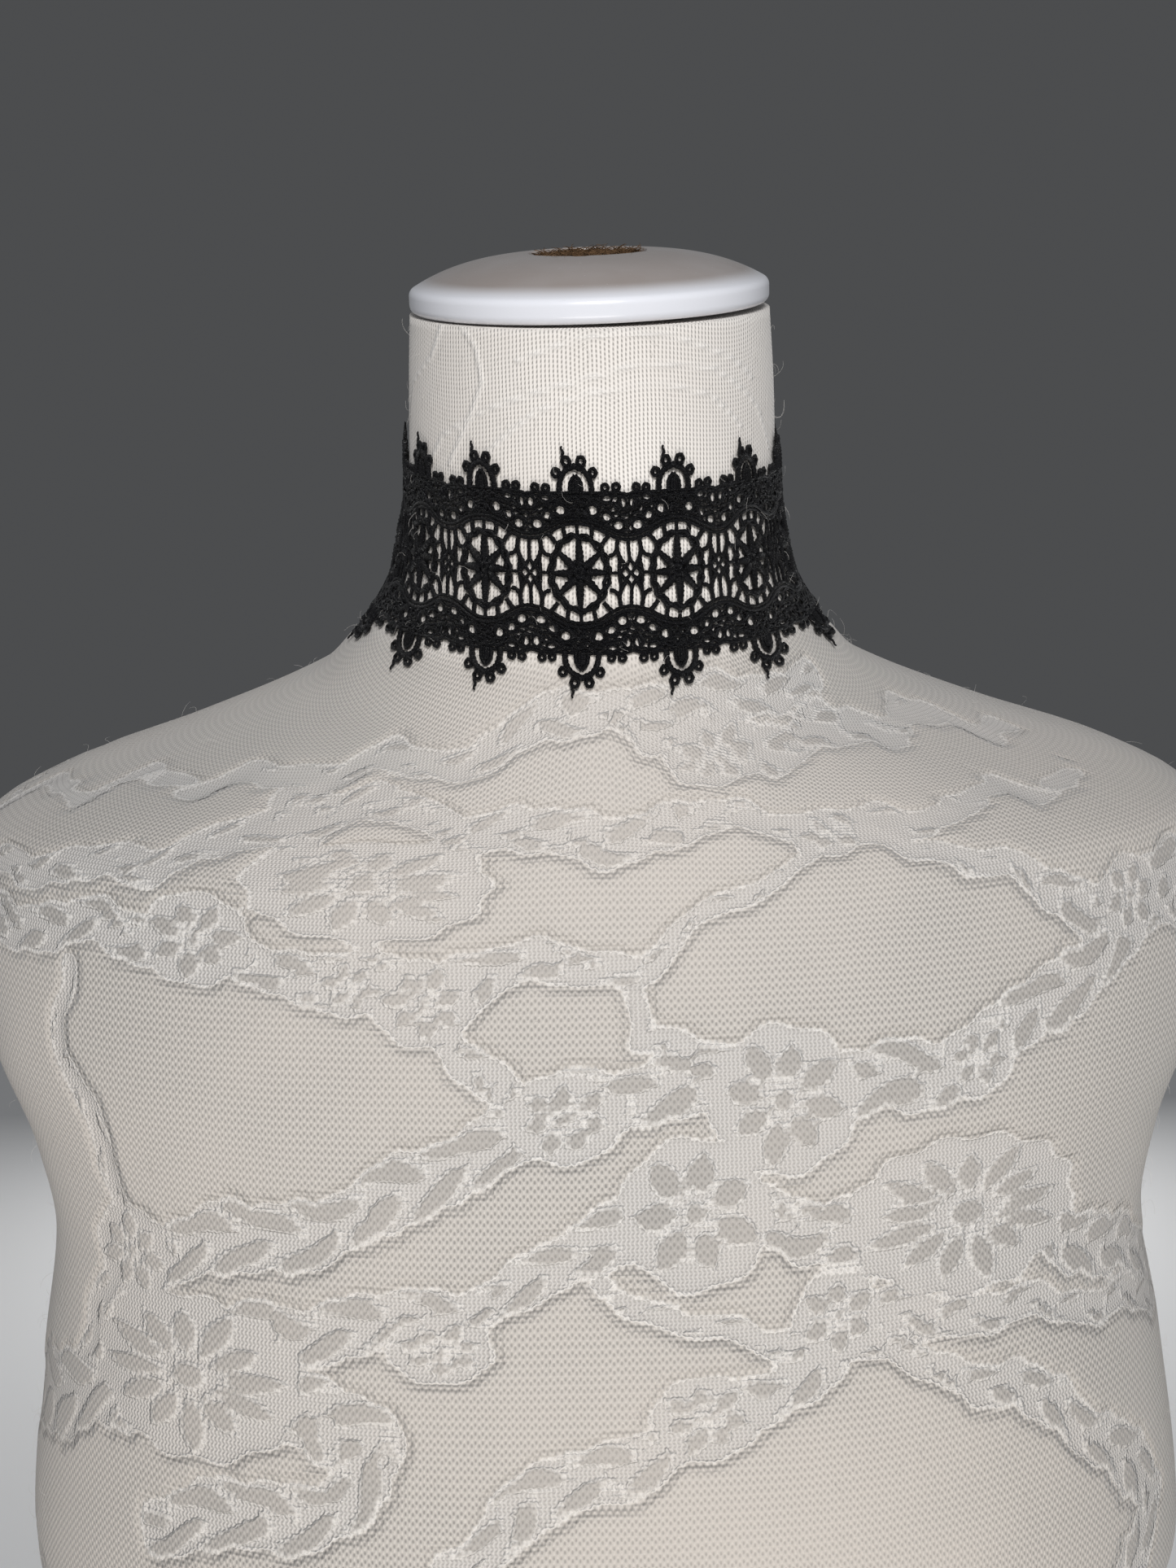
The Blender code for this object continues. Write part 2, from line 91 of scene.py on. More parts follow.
FORM_RINGS = (
    # height, half width, front, back, middle, side, slope, power
    (0.0, 168.0, -108.0, 114.0, 4.0, 0.0, 0.0, 2.30),
    (70.0, 172.0, -112.0, 120.0, 6.0, 0.0, 0.0, 2.30),
    (150.0, 150.0, -100.0, 106.0, 4.0, 0.0, 0.0, 2.25),
    (225.0, 125.0, -86.0, 84.0, 0.0, 0.0, 0.0, 2.20),
    (300.0, 147.0, -106.0, 92.0, 0.0, 0.0, 2.0, 2.30),
    (345.0, 166.0, -120.0, 98.0, 0.0, 0.0, 4.0, 2.40),
    (400.0, 161.0, -113.0, 100.0, 1.0, 0.0, 5.0, 2.50),
    (435.0, 157.0, -105.0, 101.0, 3.0, 0.0, 6.0, 2.50),
    (460.0, 163.0, -99.0, 101.4, 4.5, 0.0, 7.0, 2.45),
    (490.0, 175.5, -94.0, 101.0, 6.0, 0.0, 8.0, 2.40),
    (525.0, 181.0, -86.0, 98.0, 8.0, 0.0, 10.0, 2.25),
    (546.0, 178.0, -80.5, 95.0, 9.0, 0.0, 11.0, 2.10),
    (556.5, 160.5, -77.0, 92.5, 9.0, 0.2, 11.8, 2.00),
    (567.0, 128.0, -73.0, 89.0, 9.0, 0.4, 12.6, 1.95),
    (579.0, 94.5, -68.0, 83.5, 8.5, 0.8, 13.6, 1.95),
    (586.0, 80.0, -64.8, 78.5, 7.5, 1.2, 14.2, 1.97),
    (595.5, 70.5, -61.0, 71.0, 6.0, 1.6, 14.5, 2.00),
    (602.7, 63.6, -58.4, 65.6, 4.5, 2.0, 14.2, 2.00),
    (607.5, 60.2, -57.2, 62.4, 3.6, 2.2, 13.9, 2.00),
    (614.5, 57.0, -56.0, 59.0, 2.4, 2.5, 13.0, 2.00),
    (624.0, 54.6, -55.0, 55.8, 1.0, 2.8, 12.2, 2.00),
    (635.0, 53.1, -54.5, 52.8, -0.5, 3.1, 12.0, 2.00),
    (653.0, 52.4, -54.6, 49.8, -2.0, 3.3, 12.6, 2.00),
    (667.0, 52.0, -55.2, 47.6, -3.6, 3.4, 13.3, 2.00),
    (686.0, 51.0, -56.5, 44.5, -6.0, 3.4, 14.2, 2.00),
)
RING_UNITS = np.array((MM, MM, MM, MM, MM, MM, math.pi / 180.0, 1.0))
RINGS = np.array(FORM_RINGS) * RING_UNITS
HALF_WIDTH, FRONT, BACK, MIDDLE, SIDE, SLOPE, POWER = range(1, 8)

# Round gaps in the borders of one quarter of a repeat, in chart units: the middle across and
# up, and half the width and the height of the gap.
BORDER_EYELETS = (
    (4.7, 18.5, 1.35, 1.25),
    (8.9, 21.9, 1.20, 0.65),
    (13.4, 20.4, 0.90, 1.20),
    (12.1, 14.1, 1.35, 1.15),
    (8.6, 16.6, 0.60, 0.60),
)

# The double wave over a wheel, from its crest to its dip between two wheels.
WAVE_ACROSS = (0.0, 3.0, 6.0, 9.0, 12.0, 15.0)
WAVE_INNER = (14.7, 14.4, 13.2, 11.3, 10.2, 9.9)
WAVE_OUTER = (15.9, 15.6, 14.6, 12.8, 11.6, 11.3)
EDGE_ACROSS = (0.0, 11.0, 13.0, 15.0)
EDGE_UP = (23.6, 23.6, 23.3, 22.7)

# Cords of the openwork: radius, height over the lace's middle in radii, and the points they run
# through in chart units. A cord is repeated in the four quarters, or above and below.
QUARTER_CORDS = (
    ("ladder bar", 0.62, 0.0, ((3.8, 10.4), (4.2, 12.2), (4.3, 14.2))),
    ("corner bar", 0.66, 0.1, ((6.9, 8.6), (8.0, 10.0), (9.3, 11.4))),
    ("upright", 0.62, 0.2, ((11.9, 10.3), (11.45, 7.6), (11.8, 5.4), (12.6, 3.7), (13.5, 2.0))),
    ("corner cord", 0.60, 0.0, ((11.5, 7.6), (10.9, 6.2), (9.9, 5.4), (8.7, 5.2))),
    ("oval cord", 0.56, -0.1, ((11.8, 5.5), (12.0, 3.8), (11.7, 1.8), (11.7, 0.0))),
    ("diamond side", 0.54, 0.1, ((15.0, 3.9), (13.6, 2.1), (12.4, 0.9), (11.7, 0.0))),
    ("diamond cross", 0.46, 0.0, ((15.0, 0.0), (14.2, 0.9), (13.3, 1.9))),
    ("sprig arch", 0.82, 0.1, ((4.8, 23.3), (4.7, 25.8), (4.1, 28.0), (2.7, 29.9), (0.0, 31.2))),
    ("bud side", 0.56, 0.0, ((1.60, 23.4), (1.75, 25.2), (1.35, 27.0), (0.0, 28.7))),
    ("bud filling", 0.50, 0.4, ((0.60, 23.4), (0.75, 25.4), (0.4, 27.2))),
)
MIDDLE_CORDS = (
    ("middle bar", 0.50, 0.0, ((0.0, 10.8), (0.0, 12.8), (0.0, 14.7))),
    ("bud middle", 0.45, 0.7, ((0.0, 23.6), (0.1, 25.4), (0.0, 27.4))),
    ("sprig knot", 0.65, 0.3, ((-0.6, 31.2), (0.0, 31.7), (0.6, 31.2))),
)
SIDE_BAR = ((9.0, 0.0), (10.4, 0.1), (11.8, 0.0))
DIP_STEM = ((15.0, 10.2), (14.95, 7.0), (15.0, 3.7))
THREAD_END = ((-2.6, 33.2), (-3.1, 34.3), (-2.6, 35.2), (-3.2, 36.3), (-2.8, 37.0))

# Closed loops: the middle across and up, half the width and the height, and the cord's radius.
QUARTER_LOOPS = (
    ("first picot", 8.7, 25.0, 0.95, 1.00, 0.60),
    ("second picot", 11.9, 25.0, 1.00, 1.00, 0.60),
    ("top ring", 2.2, 32.6, 1.10, 1.30, 0.66),
    ("side ring", 5.5, 29.3, 1.02, 1.18, 0.66),
)
WHEEL_LOOPS = (
    ("rim outside", 8.75, 11.30, 0.70),
    ("rim inside", 7.70, 10.45, 0.68),
    ("star outside", 2.90, 3.00, 0.88),
    ("star inside", 1.35, 1.40, 0.88),
    ("star heart", 0.45, 0.45, 0.70),
)
SPOKES = 8
RIM_INSIDE = (7.4, 10.2)

# How the cords are laid, in chart units but for the height of a level.
CORD_STEP = 0.74
LOOP_STEP = 0.66
END_STEP = 0.5
FLOW_LINES = 8
FLOW_STEP = 0.84
CURL_STEP = 0.80
NET_SCALE = 1.18
BEAD_SHARE = 0.13
CORD_FLATNESS = 0.88
LEVEL_HEIGHT = 0.55 * MM
HUB_RADIUS = 2.0
SPOKE_RADIUS = 0.76
SPOKE_SWELL = 0.62

# The cover's pattern as read: bands of leaves as runs of (across, up, half width), in
# millimetres from the front's middle at a height of 500 mm, and flowers as (across, up, reach
# across, reach up, petals).
LEAF_BANDS = (
    ((-210, 51, 3), (-131, 64, 4), (-92, 69, 6), (-58, 77, 7), (-36, 79, 6), (-17, 89, 7),
     (2, 96, 6), (39, 95, 7), (70, 92, 6)),
    ((-178, 41, 5), (-134, 48, 7), (-105, 54, 8), (-76, 63, 10), (-53, 67, 8), (-27, 62, 7),
     (-1, 60, 8), (24, 62, 7)),
    ((24, 62, 7), (43, 64, 5), (63, 58, 7), (89, 59, 7), (117, 60, 5), (152, 59, 4)),
    ((2, 96, 4), (15, 88, 6), (34, 80, 10), (64, 80, 9), (106, 77, 7), (151, 67, 4)),
    ((60, 56, 5), (89, 52, 4), (116, 42, 5), (133, 33, 8), (167, 26, 8)),
    ((171, 35, 10), (143, 22, 10), (120, 9, 10), (98, -2, 10), (71, -6, 10), (47, -8, 12),
     (24, -3, 9), (2, -6, 9)),
    ((2, -6, 9), (-15, -11, 9), (-35, -21, 10), (-60, -36, 9), (-91, -43, 10), (-127, -52, 10)),
    ((58, 55, 3), (36, 42, 3), (13, 27, 4), (-6, 27, 6), (-27, 27, 7), (-43, 20, 9),
     (-62, 23, 9), (-84, 26, 7)),
    ((-84, 26, 7), (-105, 31, 10), (-134, 32, 7), (-174, 27, 7), (-215, 22, 6)),
    ((8, 25, 3), (12, 10, 3), (28, 3, 4), (47, -4, 7)),
    ((-41, 14, 5), (-29, 3, 5), (-17, -10, 6)),
    ((-145, 20, 3), (-147, -4, 3), (-137, -19, 4), (-129, -40, 4), (-127, -52, 5)),
    ((95, -41, 14), (64, -43, 10), (42, -36, 9), (24, -35, 10), (7, -36, 7), (-10, -47, 7),
     (-27, -55, 7)),
    ((-27, -55, 7), (-58, -62, 8), (-84, -66, 10), (-108, -79, 14), (-160, -96, 12), (-217, -118, 10)),
    ((0, -51, 3), (22, -62, 3), (44, -67, 4), (61, -63, 7), (85, -64, 6), (120, -69, 5),
     (193, -88, 5)),
    ((61, -66, 7), (41, -79, 7), (24, -87, 8), (0, -96, 8), (-21, -105, 8), (-37, -118, 7)),
    ((65, -69, 5), (91, -80, 5), (120, -93, 7), (145, -114, 8), (179, -146, 7)),
    ((95, -41, 10), (129, -54, 9), (191, -79, 7)),
    ((-127, -52, 5), (-142, -71, 4), (-150, -84, 4)),
    ((-108, -79, 10), (-73, -82, 10), (-55, -93, 9), (-65, -105, 9), (-116, -116, 10)),
)
FLOWERS = (
    (-59, 48, 30, 14, 12),
    (-105, 32, 14, 11, 7),
    (-62, 22, 8, 7, 6),
    (-43, 18, 12, 10, 7),
    (47, -8, 17, 17, 8),
    (24, -35, 17, 17, 7),
    (95, -41, 30, 18, 13),
    (-8, -11, 13, 10, 7),
    (-78, 66, 10, 6, 6),
    (34, 80, 13, 9, 8),
    (63, 58, 10, 8, 6),
    (-108, -79, 30, 18, 12),
    (-127, -52, 12, 11, 7),
    (151, 31, 10, 10, 6),
    (99, -2, 9, 8, 6),
    (59, -62, 10, 10, 6),
    (-40, -67, 12, 7, 7),
    (25, -84, 12, 9, 7),
)
PATTERN_EDGE = 200.0
PATTERN_TOP = 96.0
PATTERN_BOTTOM = -130.0
NECK_START = 108.0
NECK_RUNS = (
    # Faint raised lines on the neck, as runs of across and up.
    ((-60, 150), (-47, 165), (-27, 174), (-11, 179), (13, 185), (35, 182), (44, 177), (55, 170),
     (64, 158)),
    ((-34, 158), (-26, 165), (-15, 173), (-3, 177), (9, 179), (20, 179), (34, 175), (46, 166)),
    ((-44, 200), (-33, 189), (-31, 180), (-36, 170), (-44, 158)),
    ((-72, 168), (-66, 177), (-52, 185), (-45, 196)),
    ((-20, 186), (-6, 191), (7, 193), (23, 191), (42, 184), (52, 178)),
)
LEAF_PITCH = 19.0
LEAF_SLANT = 1.7
LEAF_HALF_WIDTH = 3.0
FLOWER_HEART = 0.17
PETAL_START = 0.27
FAR_AWAY = 60.0
BAND_SINK = 0.6 * MM
PATTERN_REACH = 3.4

COVER_WAIST = 0.280
COVER_ROWS_BELOW = 46
COVER_ROW_STEP = 2.0 * MM
COVER_FRONT_HALF = 0.52 * math.pi
COVER_FRONT_COLUMNS = 250
COVER_BACK_COLUMNS = 96
CHART_HEIGHT = 0.500

# The studio: how brightly the world lights and is seen, the lights as name, place, target, size,
# spread in degrees and colour, and the camera.
WORLD_COLOUR = (0.80, 0.82, 0.85)
WORLD_LIGHT = 0.26
WORLD_SEEN = 0.09
WHITE_LIGHT = (1.0, 1.0, 1.0)
WARM_LIGHT = (1.0, 0.965, 0.915)
LIGHTS = (
    ("key_light", (0.08, -1.10, 1.06), (0.0, -0.05, 0.63), 0.34, 50.0, WHITE_LIGHT),
    ("fill_light", (0.02, -0.62, 0.05), (0.0, -0.1, 0.23), 0.5, 70.0, WARM_LIGHT),
    ("back_light", (0.05, 1.7, 0.62), (0.0, 0.0, 0.42), 0.5, 180.0, WHITE_LIGHT),
)
CAMERA_PLACE = (-0.0002, -0.571, 0.600)
CAMERA_PITCH = math.radians(5.0)
CAMERA_ROLL = math.radians(1.35)
FILM_WIDTH = 36.0
FLOOR_REACH = 4.0
FLOOR_LINES = 9

CAP_EDGE = 2.4 * MM
CAP_HUB_SHARE = 0.345
CAP_SEGMENTS = 144
CORE_SEGMENTS = 96
CORE_SEED = 31
TAPE_SQUARENESS = 0.35
WIRE_STEP = 0.3
# The wires' middle lines in millimetres: along the neck, up and out from the tape's face.
HOOK_PATH = (
    (4.6, 0.0, 0.95), (3.2, 0.0, 0.95), (1.9, 0.0, 0.75), (1.1, 0.0, -0.35), (0.3, 0.0, -0.6),
    (-0.5, 0.0, -0.2), (-0.75, 0.0, 0.7), (-0.35, 0.0, 1.6), (0.6, 0.0, 2.0), (1.9, 0.0, 1.9),
)
EYE_LOOP = 1.05


def ring_column(column, height):
    """Monotone cubic through one column of the form's table, at many heights.

    Between two rows the value is the start times (2s^3 - 3s^2 + 1), plus the end times
    (3s^2 - 2s^3), plus both tangents times the span and their own cubics. The tangent at a row is
    the harmonic mean of the slopes beside it, or zero where they differ in sign.
    """
    places = RINGS[:, 0]
    values = RINGS[:, column]
    slopes = np.diff(values) / np.diff(places)
    before = slopes[:-1]
    after = slopes[1:]
    same = before * after > 0.0
    tangents = np.zeros(len(values))
    tangents[0] = slopes[0]
    tangents[-1] = slopes[-1]
    tangents[1:-1][same] = 2.0 * before[same] * after[same] / (before[same] + after[same])
    row = np.clip(np.searchsorted(places, height, side="right") - 1, 0, len(places) - 2)
    span = places[row + 1] - places[row]
    s = (height - places[row]) / span
    start = values[row] * (2.0 * s**3 - 3.0 * s**2 + 1.0)
    leave = tangents[row] * span * (s**3 - 2.0 * s**2 + s)
    end = values[row + 1] * (3.0 * s**2 - 2.0 * s**3)
    arrive = tangents[row + 1] * span * (s**3 - s**2)
    return start + leave + end + arrive


def form_points(height, turn):
    """Points of the form's skin: turn 0 is the front, and it grows to the right.

    Across is the half width times sin(turn) to the power 2/p, and the depth is the middle plus the
    reach times cos(turn) to the same power. A ring leans forward by the tangent of its slope.
    """
    height, turn = np.broadcast_arrays(height, turn)
    middle = ring_column(MIDDLE, height)
    power = 2.0 / ring_column(POWER, height)
    across = np.sin(turn)
    ahead = np.cos(turn)
    reach = np.where(ahead > 0.0, ring_column(FRONT, height), ring_column(BACK, height))
    x = ring_column(HALF_WIDTH, height) * np.sign(across) * np.abs(across) ** power
    y = middle + (reach - middle) * np.abs(ahead) ** power
    z = height + np.tan(ring_column(SLOPE, height)) * (y - middle)
    return np.stack((x + ring_column(SIDE, height), y, z), axis=-1)


def unit_vectors(vectors):
    """Vectors divided by their lengths."""
    return vectors / np.maximum(np.linalg.norm(vectors, axis=-1, keepdims=True), 1e-12)


def skin_normals(height, turn):
    """Outward directions of the skin: the way round crossed with the way up."""
    step = 0.2 * MM
    twist = 0.002
    round_about = form_points(height, turn + twist) - form_points(height, turn - twist)
    upward = form_points(height + step, turn) - form_points(height - step, turn)
    return unit_vectors(np.cross(round_about, upward))


def spread(share):
    """How much of a ring's extra length lies before a place: half over each shoulder."""
    total = np.zeros_like(share)
    for side in (0.25, 0.75):
        part = np.clip((share - side) / (2.0 * STRETCH_REACH) + 0.5, 0.0, 1.0)
        total += 0.5 * part * part * (3.0 - 2.0 * part)
    return total


def between_cells(table, row, column):
    """Bilinear value of a table at fractional rows and columns."""
    row = np.clip(row, 0.0, table.shape[0] - 1.001)
    column = np.clip(column, 0.0, table.shape[1] - 1.001)
    low = row.astype(int)
    left = column.astype(int)
    up = row - low
    right = column - left
    lower = table[low, left] * (1.0 - right) + table[low, left + 1] * right
    upper = table[low + 1, left] * (1.0 - right) + table[low + 1, left + 1] * right
    return lower * (1.0 - up) + upper * up


class Neckline:
    """Wraps flat lace round the neck: its height stays true, and it stretches only at the sides."""

    def __init__(self):
        self.turns = 2.0 * math.pi * np.arange(COLUMNS + 1) / COLUMNS + FRONT_WHEEL_TURN
        count = round((REACH_UP + REACH_DOWN) / REACH_STEP) + 1
        self.heights = WHEEL_HEIGHT - REACH_DOWN + np.arange(count) * REACH_STEP
        height = self.heights[:, None]
        grid = form_points(height, self.turns) + skin_normals(height, self.turns) * LACE_MIDDLE
        level = round(REACH_DOWN / REACH_STEP)
        lengths = running_lengths(grid, 1)
        rises = running_lengths(grid, 0)
        rises = rises - rises[level]
        self.girth = lengths[level, -1]
        self.alongs = np.linspace(0.0, self.girth, 1601)
        share = spread(self.alongs / self.girth)
        self.turn_table = np.array([
            np.interp(self.alongs + (row[-1] - self.girth) * share, row, self.turns)
            for row in lengths
        ])
        self.ups = np.linspace(-REACH_DOWN, REACH_UP, 341)
        offsets = SIDEWAYS_LEAN * grid[level, :, 0]
        self.height_table = np.array([
            np.interp(self.ups + offset, rise, self.heights)
            for rise, offset in zip(rises.T, offsets)
        ])

    def place(self, along, up):
        """Heights and turns on the form of places on the lace, from the middle of the front wheel."""
        along = (along + COLUMN_LEAN * up) % self.girth
        column = along / (self.alongs[1] - self.alongs[0])
        up_column = (up - self.ups[0]) / (self.ups[1] - self.ups[0])
        height = np.full(np.broadcast(along, up).shape, WHEEL_HEIGHT)
        for _ in range(3):
            turn = between_cells(self.turn_table, (height - self.heights[0]) / REACH_STEP, column)
            turn_row = (turn - self.turns[0]) / (2.0 * math.pi) * COLUMNS
            height = between_cells(self.height_table, turn_row, up_column)
        return height, turn

    def points(self, along, up, out):
        """Points of the lace out from the form's skin, and the skin's directions there."""
        along, up, out = np.broadcast_arrays(along, up, out)
        height, turn = self.place(along, up)
        normals = skin_normals(height, turn)
        return form_points(height, turn) + normals * out[..., None], normals


def running_lengths(points, axis):
    """Distance along each row or column of a grid of points, from its start."""
    steps = np.linalg.norm(np.diff(points, axis=axis), axis=-1)
    return np.insert(np.cumsum(steps, axis=axis), 0, 0.0, axis=axis)


def smooth_line(corners, step, closed=False):
    """Catmull-Rom curve through corners, taken at even steps.

    Each stretch is half of (2b + (c - a)t + (2a - 5b + 4c - d)t^2 + (3b - a - 3c + d)t^3), where b
    and c are its ends, and a and d the corners beyond them.
    """
    corners = np.asarray(corners, dtype=float)
    if closed:
        a = np.roll(corners, 1, axis=0)
        b = corners
        c = np.roll(corners, -1, axis=0)
        d = np.roll(corners, -2, axis=0)
    else:
        first = 2.0 * corners[0] - corners[1]
        last = 2.0 * corners[-1] - corners[-2]
        padded = np.vstack((first, corners, last))
        a, b, c, d = padded[:-3], padded[1:-2], padded[2:-1], padded[3:]
    t = np.linspace(0.0, 1.0, 16, endpoint=False)[None, :, None]
    a, b, c, d = (part[:, None, :] for part in (a, b, c, d))
    square = (2.0 * a - 5.0 * b + 4.0 * c - d) * t**2
    cube = (3.0 * b - a - 3.0 * c + d) * t**3
    fine = 0.5 * (2.0 * b + (c - a) * t + square + cube)
    fine = fine.reshape(-1, corners.shape[1])
    fine = np.vstack((fine, corners[:1] if closed else corners[-1:]))
    lengths = running_lengths(fine, 0)
    count = max(2, int(round(lengths[-1] / step)))
    if closed:
        count += count % 2
    places = np.linspace(0.0, lengths[-1], count + 1)
    if closed:
        places = places[:-1]
    return np.stack([np.interp(places, lengths, column) for column in fine.T], axis=1)


class Mesh:
    """Gathers points, faces and named values of a piece, and makes it."""

    def __init__(self):
        self.points = []
        self.faces = []
        self.values = {}
        self.count = 0

    def add(self, points, faces, **values):
        points = points.reshape(-1, 3)
        self.points.append(points)
        self.faces += [face + self.count for face in faces]
        for name, value in values.items():
            self.values.setdefault(name, []).append(np.broadcast_to(value, (len(points),)).ravel())
        self.count += len(points)

    def make(self, name, look):
        points = np.concatenate(self.points)
        values = {key: np.concatenate(parts) for key, parts in self.values.items()}
        return new_piece(name, points, self.faces, look, values)


def new_piece(name, points, faces, look, values=None):
    """Puts points, groups of faces with equal corner counts, and point values into a mesh."""
    mesh = bpy.data.meshes.new(name)
    mesh.vertices.add(len(points))
    mesh.vertices.foreach_set("co", np.ascontiguousarray(points, dtype=np.float32).ravel())
    corners = np.concatenate([group.ravel() for group in faces]).astype(np.int32)
    sizes = np.concatenate([np.full(len(group), group.shape[1]) for group in faces])
    starts = np.concatenate(([0], np.cumsum(sizes)[:-1])).astype(np.int32)
    mesh.loops.add(len(corners))
    mesh.loops.foreach_set("vertex_index", corners)
    mesh.polygons.add(len(sizes))
    mesh.polygons.foreach_set("loop_start", starts)
    mesh.update(calc_edges=True)
    mesh.shade_smooth()
    for key, value in (values or {}).items():
        layer = mesh.attributes.new(key, "FLOAT", "POINT")
        layer.data.foreach_set("value", np.ascontiguousarray(value, dtype=np.float32))
    mesh.materials.append(look)
    made = bpy.data.objects.new(name, mesh)
    bpy.context.scene.collection.objects.link(made)
    return made


def grid_faces(rows, columns, wrap):
    """Quads of a grid whose normals follow (along a row) crossed with (up the rows)."""
    across = columns if wrap else columns - 1
    row = np.arange(rows - 1)[:, None]
    column = np.arange(across)[None, :]
    following = (column + 1) % columns
    low = row * columns
    high = low + columns
    corners = (low + column, low + following, high + following, high + column)
    return np.stack(np.broadcast_arrays(*corners), axis=-1).reshape(-1, 4)


def sweep(mesh, paths, normals, widths, thicknesses, sides, closed, unit_length, shade):
    """Cords along many paths at once: a ring of corners stands across each path point.

    A corner is the path's point plus the side direction times width times cos(angle), plus the
    skin direction times thickness times sin(angle).
    """
    tubes, steps, _ = paths.shape
    if closed:
        ahead = np.roll(paths, -1, axis=1) - np.roll(paths, 1, axis=1)
    else:
        ahead = np.gradient(paths, axis=1)
    ahead = unit_vectors(ahead)
    side = unit_vectors(np.cross(ahead, normals))
    over = np.cross(side, ahead)
    angle = 2.0 * math.pi * (np.arange(sides) + 0.5) / sides
    cos = np.cos(angle)[None, None, :, None]
    sin = np.sin(angle)[None, None, :, None]
    widths = np.broadcast_to(widths, (tubes, steps))[:, :, None, None]
    thicknesses = np.broadcast_to(thicknesses, (tubes, steps))[:, :, None, None]
    rings = paths[:, :, None, :] + side[:, :, None, :] * cos * widths
    rings = rings + over[:, :, None, :] * sin * thicknesses
    start = np.arange(tubes)[:, None, None] * steps * sides
    step = np.arange(steps if closed else steps - 1)[None, :, None]
    following = (step + 1) % steps
    corner = np.arange(sides)[None, None, :]
    beside = (corner + 1) % sides
    quads = np.stack(np.broadcast_arrays(
        start + step * sides + corner,
        start + following * sides + corner,
        start + following * sides + beside,
        start + step * sides + beside,
    ), axis=-1).reshape(-1, 4)
    faces = [quads]
    if not closed:
        corner = np.arange(sides)[None, :]
        first = np.arange(tubes)[:, None] * steps * sides
        faces.append(first + corner)
        faces.append(first + (steps - 1) * sides + corner[:, ::-1])
    along = np.broadcast_to(np.arange(steps)[None, :, None] * unit_length, (tubes, steps, sides))
    across = np.broadcast_to(np.cos(angle)[None, None, :], (tubes, steps, sides))
    shade = np.broadcast_to(np.asarray(shade)[:, None, None], (tubes, steps, sides))
    mesh.add(rings, faces, along=along.ravel(), across=across.ravel(), shade=shade.ravel())


def wander(across, up):
    """Small drift of the chart from wheel to wheel: sums of slow sines, in chart units."""
    right = 0.16 * np.sin(0.131 * across + 0.29 * up)
    right = right + 0.12 * np.sin(0.377 * across - 0.21 * up + 1.3)
    over = 0.16 * np.sin(0.173 * across + 0.19 * up + 0.7)
    over = over + 0.10 * np.sin(0.419 * across + 0.33 * up)
    return across + right, up + over


def from_wheel(across):
    """Distance from the nearest wheel's middle, in chart units."""
    return np.abs((across + CHART_REPEAT / 2.0) % CHART_REPEAT - CHART_REPEAT / 2.0)


def part_round_eyelets(across, up, own_side):
    """Moves border threads so that each keeps to its own side of every eyelet.

    On its side of an eyelet's middle a thread stays at least as far off as the eyelet's half height
    times one less the fourth power of the share across: the larger of the two, rounded over.
    """
    local = from_wheel(across)
    level = np.abs(up)
    for middle, height, half_width, half_height in BORDER_EYELETS:
        sign = np.where(np.abs(own_side) >= height, 1.0, -1.0)
        least = (half_height + 0.70) * (1.0 - ((local - middle) / (half_width + 0.85)) ** 4)
        away = sign * (level - height)
        level = height + sign * 0.5 * (away + least + np.sqrt((away - least) ** 2 + 0.25))
    return np.sign(up) * level


